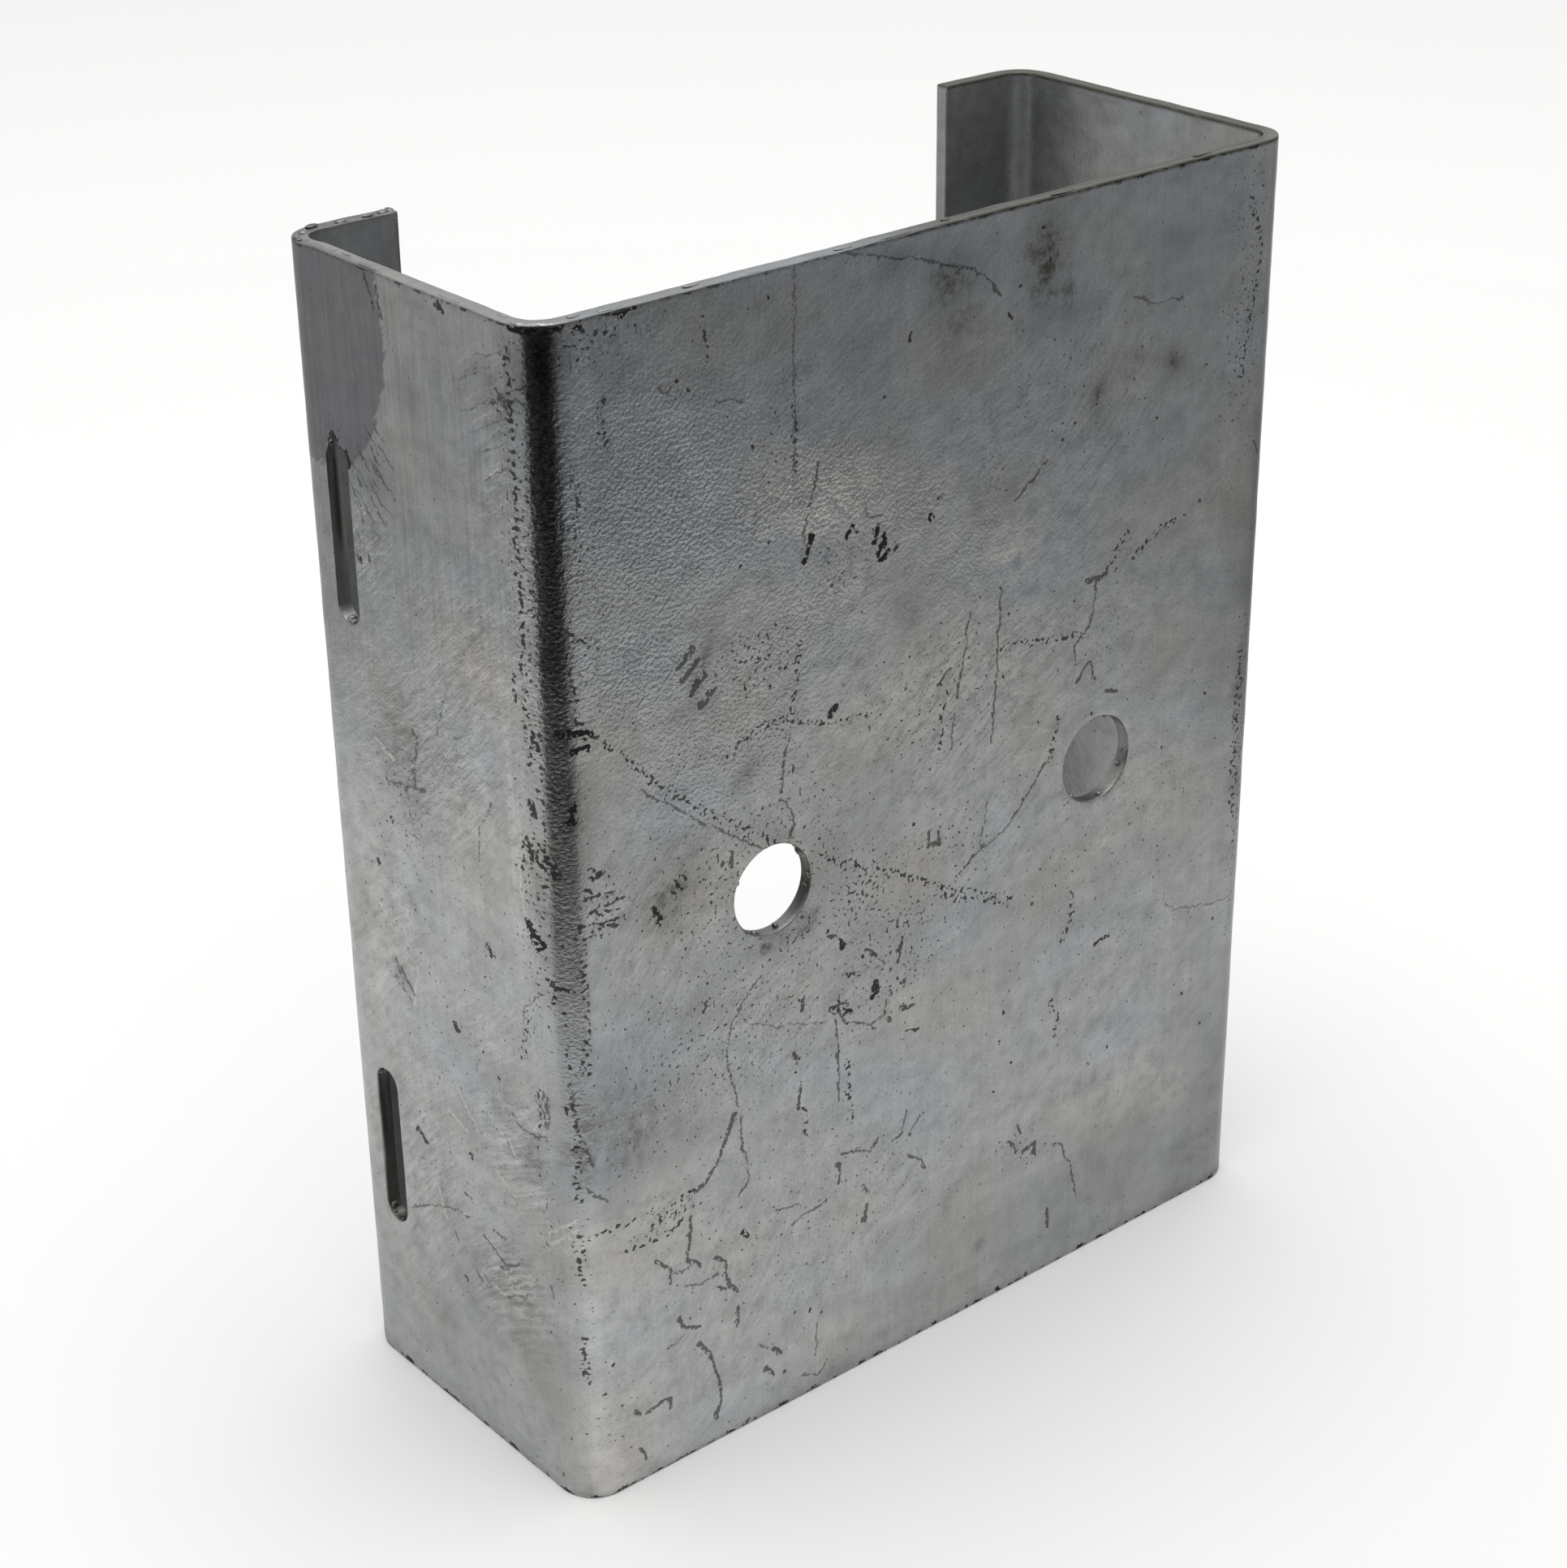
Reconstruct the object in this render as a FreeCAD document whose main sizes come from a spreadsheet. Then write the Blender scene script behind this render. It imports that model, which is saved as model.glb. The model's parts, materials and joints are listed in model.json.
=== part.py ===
import FreeCAD, Part
import math
import os
import Sketcher

# A mounting bracket folded from one piece of galvanised steel sheet. It is a short length of
# lipped channel that stands on its sawn end: a broad web with two bolt holes, a flange folded
# back from each side of it, and a lip folded inwards at the back of each flange. Each flange
# has two upright slots near its lip, which a steel strap runs through to tie it to a post.
# X runs across the web, Y from the web back to the lips, and Z up the length of the channel.
# The origin is at the middle of the foot. Every size is in millimetres.

SIZES = [
    ("web_width", 120.0, "across the web, outside to outside"),
    ("section_depth", 50.4, "from the web's outer face to the lips' outer face"),
    ("lip_length", 15.9, "from the flange's outer face to the lip's free edge"),
    ("channel_length", 156.2, "from the foot to the top edge"),
    ("sheet_thickness", 2.1, "the steel with its zinc coat"),
    ("bend_radius", 3.1, "inside radius of all four folds"),
    ("bolt_hole_diameter", 12.0, "two round holes in the web"),
    ("bolt_hole_spacing", 55.5, "between the two bolt holes, across the web"),
    ("slot_length", 23.2, "end to end, along the channel"),
    ("slot_width", 4.6, "across a strap slot"),
    ("slot_spacing", 86.2, "from the lower slots' middle to the upper slots' middle"),
    ("slot_set_back", 9.8, "from the lips' outer face to the slots' centre line"),
    ("edge_round", 0.3, "how far the zinc rounds the sheared edges"),
]

SHEET = "sizes"

# How a sketch numbers the points of its lines and arcs, its upright axis and its origin.
START, END, CENTRE = range(1, 4)
VERTICAL_AXIS = -2
ORIGIN = (-1, 1)

UPWARDS = FreeCAD.Vector(0, 0, 1)
SHARP_TURN = math.radians(45)


def size_sheet(doc):
    """The spreadsheet that holds every driving size, one row each."""
    sheet = doc.addObject("Spreadsheet::Sheet", SHEET)
    for row, (name, value, note) in enumerate(SIZES, start=1):
        sheet.set(f"A{row}", name)
        sheet.set(f"B{row}", str(value))
        sheet.set(f"C{row}", note)
        sheet.setAlias(f"B{row}", name)
    doc.recompute()
    return sheet


def origin_plane(body, role):
    """One of the body's own three origin planes."""
    return next(f for f in body.Origin.OriginFeatures if f.Role == role)


def new_sketch(body, name, role):
    sketch = body.newObject("Sketcher::SketchObject", name)
    sketch.AttachmentSupport = [(origin_plane(body, role), "")]
    sketch.MapMode = "FlatFace"
    return sketch


def bind(sketch, index, name, expression):
    """Names a dimension of a sketch and ties it to the sheet."""
    sketch.renameConstraint(index, name)
    sketch.setExpression(f"Constraints.{name}", expression)


def point(x, y):
    return FreeCAD.Vector(x, y, 0)


def line(a, b):
    return Part.LineSegment(point(*a), point(*b))


def arc(centre, radius, start_degrees, turn_degrees):
    """Part of a circle, anticlockwise from the given direction."""
    start = math.radians(start_degrees)
    circle = Part.Circle(point(*centre), UPWARDS, radius)
    return Part.ArcOfCircle(circle, start, start + math.radians(turn_degrees))


def skin(side, sizes, inset):
    """One skin of the folded sheet: its flats and folds in order, anticlockwise from the left
    lip's free edge round to the right one's. The inset is how far it lies inside the outer skin."""
    half = sizes.web_width / 2 - inset
    back = sizes.section_depth / 2 - inset
    radius = sizes.bend_radius + sizes.sheet_thickness - inset
    x = half - radius
    y = back - radius
    lip = sizes.web_width / 2 - sizes.lip_length
    return {
        f"{side}_left_lip": line((-lip, back), (-x, back)),
        f"{side}_left_back_fold": arc((-x, y), radius, 90, 90),
        f"{side}_left_flange": line((-half, y), (-half, -y)),
        f"{side}_left_front_fold": arc((-x, -y), radius, 180, 90),
        f"{side}_web": line((-x, -back), (x, -back)),
        f"{side}_right_front_fold": arc((x, -y), radius, 270, 90),
        f"{side}_right_flange": line((half, -y), (half, y)),
        f"{side}_right_back_fold": arc((x, y), radius, 0, 90),
        f"{side}_right_lip": line((x, back), (lip, back)),
    }


def section_profile(body, sizes):
    """The channel's cross-section: two skins with shared fold centres, closed at the lips."""
    sketch = new_sketch(body, "section_profile", "XY_Plane")
    add = sketch.addConstraint
    index = {}
    for side, inset in (("outer", 0.0), ("inner", sizes.sheet_thickness)):
        pieces = skin(side, sizes, inset)
        for name, shape in pieces.items():
            index[name] = sketch.addGeometry(shape, False)
        names = list(pieces)
        for before, after in zip(names, names[1:]):
            add(Sketcher.Constraint("Tangent", index[before], END, index[after], START))
        for lip in ("left_lip", "right_lip"):
            add(Sketcher.Constraint("Horizontal", index[f"{side}_{lip}"]))
        for flange in ("left_flange", "right_flange"):
            add(Sketcher.Constraint("Vertical", index[f"{side}_{flange}"]))

    left_tip = (index["outer_left_lip"], START)
    right_tip = (index["outer_right_lip"], END)
    inner_tips = [(index["inner_left_lip"], START), (index["inner_right_lip"], END)]
    for outer, inner in zip((left_tip, right_tip), inner_tips):
        tip = sketch.addGeometry(line(sketch.getPoint(*outer)[:2], sketch.getPoint(*inner)[:2]), False)
        add(Sketcher.Constraint("Coincident", tip, START, *outer))
        add(Sketcher.Constraint("Coincident", tip, END, *inner))
        add(Sketcher.Constraint("Vertical", tip))

    folds = ["left_back_fold", "left_front_fold", "right_front_fold", "right_back_fold"]
    for fold in folds:
        outer_centre = (index[f"outer_{fold}"], CENTRE)
        inner_centre = (index[f"inner_{fold}"], CENTRE)
        add(Sketcher.Constraint("Coincident", *outer_centre, *inner_centre))
    for fold in folds[1:]:
        add(Sketcher.Constraint("Equal", index[f"inner_{folds[0]}"], index[f"inner_{fold}"]))

    web = index["outer_web"]
    add(Sketcher.Constraint("Symmetric", web, START, web, END, VERTICAL_AXIS))
    add(Sketcher.Constraint("Horizontal", index["inner_web"]))
    add(Sketcher.Constraint("Symmetric", *left_tip, *right_tip, VERTICAL_AXIS))

    left, right = index["outer_left_flange"], index["outer_right_flange"]
    width = add(Sketcher.Constraint("DistanceX", left, START, right, START, sizes.web_width))
    bind(sketch, width, "web_width", f"{SHEET}.web_width")
    front = add(Sketcher.Constraint("DistanceY", web, START, *ORIGIN, sizes.section_depth / 2))
    bind(sketch, front, "web_to_origin", f"{SHEET}.section_depth / 2")
    depth = add(Sketcher.Constraint("DistanceY", web, START, *left_tip, sizes.section_depth))
    bind(sketch, depth, "section_depth", f"{SHEET}.section_depth")
    lip = add(Sketcher.Constraint("DistanceX", left, START, *left_tip, sizes.lip_length))
    bind(sketch, lip, "lip_length", f"{SHEET}.lip_length")
    wall = add(Sketcher.Constraint("DistanceY", web, START, index["inner_web"], START, sizes.sheet_thickness))
    bind(sketch, wall, "sheet_thickness", f"{SHEET}.sheet_thickness")
    bend = add(Sketcher.Constraint("Radius", index[f"inner_{folds[0]}"], sizes.bend_radius))
    bind(sketch, bend, "bend_radius", f"{SHEET}.bend_radius")
    return sketch


def channel_run(body, profile):
    pad = body.newObject("PartDesign::Pad", "channel_run")
    pad.Profile = profile
    pad.setExpression("Length", f"{SHEET}.channel_length")
    return pad


def is_sharp(shape, edge):
    """True where two faces meet at a corner, and not along a fold or a seam."""
    faces = shape.ancestorsOfType(edge, Part.Face)
    if len(faces) != 2:
        return False
    middle = edge.valueAt((edge.FirstParameter + edge.LastParameter) / 2)
    first, second = [face.normalAt(*face.Surface.parameter(middle)) for face in faces]
    return first.getAngle(second) > SHARP_TURN


def rounded_edges(body, base):
    """The zinc rounds the sheet's sheared edges: both ends of the channel and the lips."""
    names = [
        f"Edge{number}"
        for number, edge in enumerate(base.Shape.Edges, start=1)
        if is_sharp(base.Shape, edge)
    ]
    fillet = body.newObject("PartDesign::Fillet", "rounded_edges")
    fillet.Base = (base, names)
    fillet.setExpression("Radius", f"min({SHEET}.edge_round; {SHEET}.sheet_thickness / 3)")
    body.Tip = fillet
    return fillet


def bolt_hole_sketch(body, sizes):
    """Two circles side by side at mid length. On this plane, y is the height."""
    sketch = new_sketch(body, "bolt_hole_circles", "XZ_Plane")
    add = sketch.addConstraint
    height = sizes.channel_length / 2
    circles = []
    for side in (-1, 1):
        centre = point(side * sizes.bolt_hole_spacing / 2, height)
        circle = Part.Circle(centre, UPWARDS, sizes.bolt_hole_diameter / 2)
        circles.append(sketch.addGeometry(circle, False))
    left, right = circles
    add(Sketcher.Constraint("Symmetric", left, CENTRE, right, CENTRE, VERTICAL_AXIS))
    add(Sketcher.Constraint("Equal", left, right))
    across = add(Sketcher.Constraint("DistanceX", left, CENTRE, right, CENTRE, sizes.bolt_hole_spacing))
    bind(sketch, across, "bolt_hole_spacing", f"{SHEET}.bolt_hole_spacing")
    up = add(Sketcher.Constraint("DistanceY", *ORIGIN, left, CENTRE, height))
    bind(sketch, up, "mid_length", f"{SHEET}.channel_length / 2")
    bore = add(Sketcher.Constraint("Diameter", left, sizes.bolt_hole_diameter))
    bind(sketch, bore, "bolt_hole_diameter", f"{SHEET}.bolt_hole_diameter")
    return sketch


def bolt_holes(body, circles):
    """The holes go through the web alone, from the middle of the section forwards."""
    pocket = body.newObject("PartDesign::Pocket", "bolt_holes")
    pocket.Profile = circles
    pocket.Type = "ThroughAll"
    pocket.Reversed = True
    return pocket


def slot_sketch(body, sizes):
    """The lower strap slot. On this plane, x runs back to the lips and y is the height."""
    sketch = new_sketch(body, "strap_slot_outline", "YZ_Plane")
    add = sketch.addConstraint
    radius = sizes.slot_width / 2
    across = sizes.section_depth / 2 - sizes.slot_set_back
    middle = (sizes.channel_length - sizes.slot_spacing) / 2
    low = middle - sizes.slot_length / 2 + radius
    high = middle + sizes.slot_length / 2 - radius
    front = sketch.addGeometry(line((across - radius, high), (across - radius, low)), False)
    foot = sketch.addGeometry(arc((across, low), radius, 180, 180), False)
    rear = sketch.addGeometry(line((across + radius, low), (across + radius, high)), False)
    head = sketch.addGeometry(arc((across, high), radius, 0, 180), False)
    add(Sketcher.Constraint("Tangent", front, END, foot, START))
    add(Sketcher.Constraint("Tangent", foot, END, rear, START))
    add(Sketcher.Constraint("Tangent", rear, END, head, START))
    add(Sketcher.Constraint("Tangent", head, END, front, START))
    add(Sketcher.Constraint("Vertical", rear))
    add(Sketcher.Constraint("Equal", foot, head))
    end_radius = add(Sketcher.Constraint("Radius", foot, radius))
    bind(sketch, end_radius, "end_radius", f"{SHEET}.slot_width / 2")
    straight = add(Sketcher.Constraint("DistanceY", foot, CENTRE, head, CENTRE, high - low))
    bind(sketch, straight, "between_end_centres", f"{SHEET}.slot_length - {SHEET}.slot_width")
    back = add(Sketcher.Constraint("DistanceX", *ORIGIN, foot, CENTRE, across))
    bind(sketch, back, "slot_line", f"{SHEET}.section_depth / 2 - {SHEET}.slot_set_back")
    up = add(Sketcher.Constraint("DistanceY", *ORIGIN, foot, CENTRE, low))
    lowest = f"({SHEET}.channel_length - {SHEET}.slot_spacing - {SHEET}.slot_length + {SHEET}.slot_width) / 2"
    bind(sketch, up, "lower_end_centre", lowest)
    return sketch


def lower_slots(body, outline):
    """One cut through both flanges, because their slots face each other."""
    pocket = body.newObject("PartDesign::Pocket", "lower_slots")
    pocket.Profile = outline
    pocket.Type = "ThroughAll"
    pocket.Type2 = "ThroughAll"
    pocket.SideType = "Two sides"
    return pocket


def upper_slots(body, cut, outline):
    """The same pair of slots again, further up the channel."""
    pattern = body.newObject("PartDesign::LinearPattern", "upper_slots")
    pattern.Originals = [cut]
    pattern.Direction = (outline, ["V_Axis"])
    pattern.Occurrences = 2
    pattern.setExpression("Length", f"{SHEET}.slot_spacing")
    body.Tip = pattern
    return pattern


def folded_channel(doc, sizes):
    """The whole bracket, which is one piece of folded sheet."""
    body = doc.addObject("PartDesign::Body", "folded_channel")
    body.Label = "folded_channel"
    run = channel_run(body, section_profile(body, sizes))
    doc.recompute()
    rounded_edges(body, run)
    doc.recompute()
    solid = body.Shape.Volume
    bolt_holes(body, bolt_hole_sketch(body, sizes))
    doc.recompute()
    drilled = body.Shape.Volume
    outline = slot_sketch(body, sizes)
    first_cut = lower_slots(body, outline)
    doc.recompute()
    slotted = body.Shape.Volume
    upper_slots(body, first_cut, outline)
    doc.recompute()
    finished = body.Shape.Volume
    if not solid > drilled > slotted > finished:
        raise RuntimeError(f"a cut removed nothing: {solid}, {drilled}, {slotted}, {finished}")
    return body


def check_document(doc, bodies):
    """Stops before anything is written if an object failed or a shape isn't a valid solid."""
    for item in doc.Objects:
        if {"Invalid", "Error"} & set(item.State):
            raise RuntimeError(f"{item.Name} failed: {item.State}")
    for body in bodies:
        if body.Shape.isNull() or not body.Shape.isValid():
            raise RuntimeError(f"{body.Label} has no valid shape")


def main():
    doc = FreeCAD.newDocument("mounting_bracket")
    sizes = size_sheet(doc)
    bodies = [folded_channel(doc, sizes)]
    check_document(doc, bodies)
    os.makedirs("parts", exist_ok=True)
    for body in bodies:
        body.Shape.exportStep(f"parts/{body.Label}.step")
        print(body.Label, "volume", round(body.Shape.Volume, 1), "solids", len(body.Shape.Solids))
    return doc


main()
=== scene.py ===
import json
import math

import bpy
import numpy as np
from mathutils import Euler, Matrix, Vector


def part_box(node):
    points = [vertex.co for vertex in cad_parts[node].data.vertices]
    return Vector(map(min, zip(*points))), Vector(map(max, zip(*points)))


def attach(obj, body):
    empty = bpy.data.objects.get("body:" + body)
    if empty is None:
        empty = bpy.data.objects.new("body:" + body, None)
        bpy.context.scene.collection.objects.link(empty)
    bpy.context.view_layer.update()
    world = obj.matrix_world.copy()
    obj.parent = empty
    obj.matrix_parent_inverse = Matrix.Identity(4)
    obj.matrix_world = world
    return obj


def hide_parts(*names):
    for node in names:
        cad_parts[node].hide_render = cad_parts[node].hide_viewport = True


# A mounting bracket: one length of lipped channel, folded from sheet steel and hot-dip
# galvanised after its holes and slots were punched. Everything below is worked out on the flat
# blank, in millimetres: s runs across the blank from the middle of the web, z up the channel,
# and n from the outer skin into the sheet. folded() bends the blank into the channel.

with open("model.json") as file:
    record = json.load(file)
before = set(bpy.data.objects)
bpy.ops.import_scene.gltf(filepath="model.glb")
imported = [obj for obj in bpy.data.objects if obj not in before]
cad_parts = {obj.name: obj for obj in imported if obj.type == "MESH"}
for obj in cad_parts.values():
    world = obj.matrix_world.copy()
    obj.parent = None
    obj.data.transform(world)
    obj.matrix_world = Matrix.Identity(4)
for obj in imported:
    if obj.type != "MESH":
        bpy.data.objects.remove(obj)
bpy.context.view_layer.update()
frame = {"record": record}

MM = 0.001
NODE = "folded_channel"
MOUNTS = {mount["name"]: mount for mount in frame["record"]["mounts"]}
BOLTS = MOUNTS["web_bolt_holes"]["dims"]
STRAPS = MOUNTS["left_strap_slots"]["dims"]

low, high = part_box(NODE)
WIDTH = (high.x - low.x) / MM
DEPTH = (high.y - low.y) / MM
LENGTH = (high.z - low.z) / MM

# The sheet with its zinc, the outer radius of the folds, and the lips' width.

SHEET = 2.1
BEND = 5.2
LIP = 15.9

# Where each flat and each fold starts on the blank, and where the sheet ends. A fold takes up
# a quarter turn at the radius of the sheet's middle.

MIDDLE_RADIUS = BEND - SHEET / 2
FOLD_RUN = MIDDLE_RADIUS * math.pi / 2
HALF_WEB = WIDTH / 2 - BEND
HALF_FLANGE = DEPTH / 2 - BEND
FLANGE_START = HALF_WEB + FOLD_RUN
FLANGE_END = FLANGE_START + DEPTH - 2 * BEND
LIP_START = FLANGE_END + FOLD_RUN
LIP_EDGE = LIP_START + LIP - BEND

# The rounding of the cut edges and the step of the mesh.

EDGE_ROUND = 0.24
MESH_STEP = 1.05

# The zinc: how deep its swells go into either skin, how high each of the two ripples along the
# ends is, how far in from an end they reach, how low the sheet's top lies besides, and how much
# lower on the left lip, which leaves room for the beads there.

SWELL = 0.10
RIPPLE = 0.03
RIPPLE_REACH = 2
TOP_DROP = 0.08
LIP_DROP = 0.2


def linear(hex_colour):
    """An sRGB hex colour as linear red, green, blue and alpha."""
    parts = [int(hex_colour[i : i + 2], 16) / 255 for i in (1, 3, 5)]
    return [c / 12.92 if c <= 0.04045 else ((c + 0.055) / 1.055) ** 2.4 for c in parts] + [1.0]


def folded(s, z, n):
    """Blank to channel: flats stay flat, and along a fold the distance past its start becomes
    an angle about the fold's centre, at the bend radius less the depth into the sheet."""
    a = np.abs(s)
    radius = BEND - n
    front = (a - HALF_WEB) / MIDDLE_RADIUS
    rear = (a - FLANGE_END) / MIDDLE_RADIUS
    places = [a < HALF_WEB, a < FLANGE_START, a < FLANGE_END, a < LIP_START]
    x = np.select(
        places,
        [a, HALF_WEB + radius * np.sin(front), WIDTH / 2 - n, HALF_WEB + radius * np.cos(rear)],
        HALF_WEB - (a - LIP_START),
    )
    y = np.select(
        places,
        [
            n - DEPTH / 2,
            -HALF_FLANGE - radius * np.cos(front),
            a - FLANGE_START - HALF_FLANGE,
            HALF_FLANGE + radius * np.sin(rear),
        ],
        DEPTH / 2 - n,
    )
    return np.stack([np.sign(s) * x, y, z], axis=-1)


# The openings: centre on the blank, radius, half the run between end centres, and the gap from
# the opening to the square block of the mesh that its rings fill.

hole_s = BOLTS["spacing_x_mm"] / 2
slot_r = STRAPS["hole_r_mm"]
slot_straight = STRAPS["slot_length_mm"] / 2 - slot_r
slot_y = MOUNTS["left_strap_slots"]["pos_m"][1] / MM + DEPTH / 2
slot_s = FLANGE_START + slot_y - BEND
slot_rise = STRAPS["spacing_y_mm"] / 2
hole_gap = 3.0
slot_gap = 1.8

OPENINGS = [(side * hole_s, LENGTH / 2, BOLTS["hole_r_mm"], 0.0, hole_gap) for side in (-1, 1)]
OPENINGS += [
    (side * slot_s, LENGTH / 2 + way * slot_rise, slot_r, slot_straight, slot_gap)
    for side in (-1, 1)
    for way in (-1, 1)
]

# The rings of quads in a block, and the mesh's steps round a fold.

RINGS = 4
FOLD_STEPS = 9

# Where the skins end and the rounding of the cut edges starts.

SKIN_END = LIP_EDGE - EDGE_ROUND
SKIN_TOP = LENGTH - EDGE_ROUND


def grid_lines(stops, step):
    """Lines that pass through every stop, with about one step between neighbours."""
    stops = sorted(set(np.round(stops, 4)))
    runs = []
    for a, b in zip(stops, stops[1:]):
        count = max(1, math.ceil((b - a) / step - 0.01))
        runs.append(np.linspace(a, b, count, endpoint=False))
    return np.concatenate(runs + [[stops[-1]]])


def waves(s, z, seed, shortest, longest, count=24):
    """Low swells: the sum of sine waves with random directions, lengths and phases, about one
    high."""
    rng = np.random.default_rng(seed)
    total = np.zeros_like(s)
    for turn, phase, share in rng.random((count, 3)):
        k = 2 * math.pi / (shortest * (longest / shortest) ** share)
        angle = 2 * math.pi * turn
        total += np.sin(k * (s * math.cos(angle) + z * math.sin(angle)) + 2 * math.pi * phase)
    return total / math.sqrt(count)


def towards_rim(opening, points):
    """For each point of a block's border, the nearest place on the opening's centre line and
    the way from there to the point."""
    centre_s, centre_z, _, straight, _ = opening
    axis_z = np.clip(points[:, 1], centre_z - straight, centre_z + straight)
    spine = np.stack([np.full(len(points), centre_s), axis_z], axis=1)
    way = points - spine
    return spine, way / np.linalg.norm(way, axis=1, keepdims=True)


def edge_profile(steps=3):
    """Across a cut edge, from the outer skin round to the inner one: quarter circles at both
    corners and a shallow step between them, where the punch tore the sheet, as the distance
    inside the edge line and the depth in the sheet."""
    turn = np.linspace(0, math.pi / 2, steps + 1)[1:]
    first = np.stack([EDGE_ROUND * (1 - np.sin(turn)), EDGE_ROUND * (1 - np.cos(turn))], axis=1)
    middle = np.array([[0.03, 0.35 * SHEET], [0.09, 0.6 * SHEET]])
    second = np.stack([first[::-1, 0], SHEET - first[::-1, 1]], axis=1)
    return np.concatenate([first, middle, second])


def border(index):
    """The ids round a block of the grid, anticlockwise as seen from outside the channel."""
    return np.concatenate([index[:-1, 0], index[-1, :-1], index[:0:-1, -1], index[0, :0:-1]])


def between(first, second):
    """Quads between two closed loops of ids that run the same way round."""
    return np.stack([first, np.roll(first, -1), np.roll(second, -1), second], axis=1)


def mesh_lines(blocks):
    """The grid's lines across the blank and up it: through each step of the folds and each side
    of a block, and closer together near the cut edges."""
    creases = [SKIN_END, SKIN_END - 0.5, SKIN_END - 1.2, LIP_START, FLANGE_START]
    for start in (HALF_WEB, FLANGE_END):
        creases += [start + FOLD_RUN * i / FOLD_STEPS for i in range(FOLD_STEPS)]
    stops_s = [side * s for s in creases for side in (-1, 1)]
    stops_s += [s for block in blocks for s in block[:2]]
    stops_z = [EDGE_ROUND, EDGE_ROUND + 0.7]
    stops_z += [SKIN_TOP - 1.9, SKIN_TOP - 1.1, SKIN_TOP - 0.5, SKIN_TOP]
    stops_z += [z for block in blocks for z in block[2:]]
    return grid_lines(stops_s, MESH_STEP), grid_lines(stops_z, MESH_STEP)


def cut_edges(flat, rims):
    """The edge profile, carried along each rim from its loop on the outer skin to the same loop
    on the inner one, as more points and quads."""
    inner = len(flat)
    total = 2 * inner
    points = []
    faces = []
    for loop, way in rims:
        last = loop
        for inset, depth in edge_profile():
            edge = flat[loop] + way * (EDGE_ROUND - inset)
            points.append(np.column_stack([edge, np.full(len(loop), depth)]))
            ring = np.arange(total, total + len(loop))
            total += len(loop)
            faces.append(between(last, ring))
            last = ring
        faces.append(between(last, loop + inner))
    return points, faces


def channel_blank():
    """Two skins on one grid, with a block left out round each opening and filled by rings, and
    rounded edges that join the skins along the sheet's outline and round every opening.
    Returns the points (s, z, n) and the quads."""
    blocks = [
        (s - r - gap, s + r + gap, z - c - r - gap, z + c + r + gap) for s, z, r, c, gap in OPENINGS
    ]
    lines_s, lines_z = mesh_lines(blocks)
    grid = np.stack(np.meshgrid(lines_s, lines_z, indexing="ij"), axis=-1)
    index = np.arange(grid[..., 0].size).reshape(grid.shape[:2])
    solid = np.ones((len(lines_s) - 1, len(lines_z) - 1), bool)
    corners = grid.reshape(-1, 2)
    flat = [corners]
    quads = []
    rims = []
    total = len(corners)
    for opening, block in zip(OPENINGS, blocks):
        i0, i1 = [int(np.argmin(np.abs(lines_s - v))) for v in block[:2]]
        j0, j1 = [int(np.argmin(np.abs(lines_z - v))) for v in block[2:]]
        solid[i0:i1, j0:j1] = False
        loop = border(index[i0 : i1 + 1, j0 : j1 + 1])
        start = corners[loop]
        spine, way = towards_rim(opening, start)
        rim = spine + way * (opening[2] + EDGE_ROUND)
        for share in np.linspace(0, 1, RINGS + 1)[1:]:
            flat.append(start + (rim - start) * share)
            ring = np.arange(total, total + len(loop))
            total += len(loop)
            quads.append(between(loop, ring))
            loop = ring
        rims.append((loop, -way))
    cell = [index[:-1, :-1], index[1:, :-1], index[1:, 1:], index[:-1, 1:]]
    quads.append(np.stack([c[solid] for c in cell], axis=1))
    flat = np.concatenate(flat)
    quads = np.concatenate(quads)
    inner = len(flat)
    points = [np.column_stack([flat, np.full(inner, depth)]) for depth in (0.0, SHEET)]
    faces = [quads, quads[:, ::-1] + inner]

    outline = border(index)
    place = flat[outline] - [0, LENGTH / 2]
    at_edge = np.abs(place) > np.array([SKIN_END, SKIN_TOP - LENGTH / 2]) - 1e-3
    way = np.sign(place) * at_edge
    rims.append((outline[::-1], (way / np.linalg.norm(way, axis=1, keepdims=True))[::-1]))

    edge_points, edge_faces = cut_edges(flat, rims)
    points += edge_points
    faces += edge_faces
    points = np.concatenate(points)
    ids, faces = np.unique(np.concatenate(faces), return_inverse=True)
    return points[ids], faces.reshape(-1, 4)


def ball(steps):
    """A unit sphere of quads: each side of a cube is cut evenly, and every point is pushed out
    or in along its own ray to one length."""
    edge = np.linspace(-1, 1, steps + 1)
    u, v = np.meshgrid(edge, edge, indexing="ij")
    w = np.ones_like(u)
    sides = [(u, v, w), (v, u, -w), (w, u, v), (-w, v, u), (v, w, u), (u, -w, v)]
    points = np.concatenate([np.stack(side, axis=-1).reshape(-1, 3) for side in sides])
    index = np.arange(len(points)).reshape(6, steps + 1, steps + 1)
    quads = [index[:, :-1, :-1], index[:, :-1, 1:], index[:, 1:, 1:], index[:, 1:, :-1]]
    quads = np.stack(quads, axis=-1).reshape(-1, 4)
    points, ids = np.unique(np.round(points, 6), axis=0, return_inverse=True)
    return points / np.linalg.norm(points, axis=1, keepdims=True), ids.reshape(-1)[quads]


def new_mesh(name, points, faces):
    """A smooth mesh object, from arrays of points in metres and of faces."""
    mesh = bpy.data.meshes.new(name)
    mesh.from_pydata(points.tolist(), [], faces.tolist())
    mesh.polygons.foreach_set("use_smooth", np.ones(len(mesh.polygons), bool))
    mesh.update()
    piece = bpy.data.objects.new(name, mesh)
    bpy.context.scene.collection.objects.link(piece)
    return piece


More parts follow.
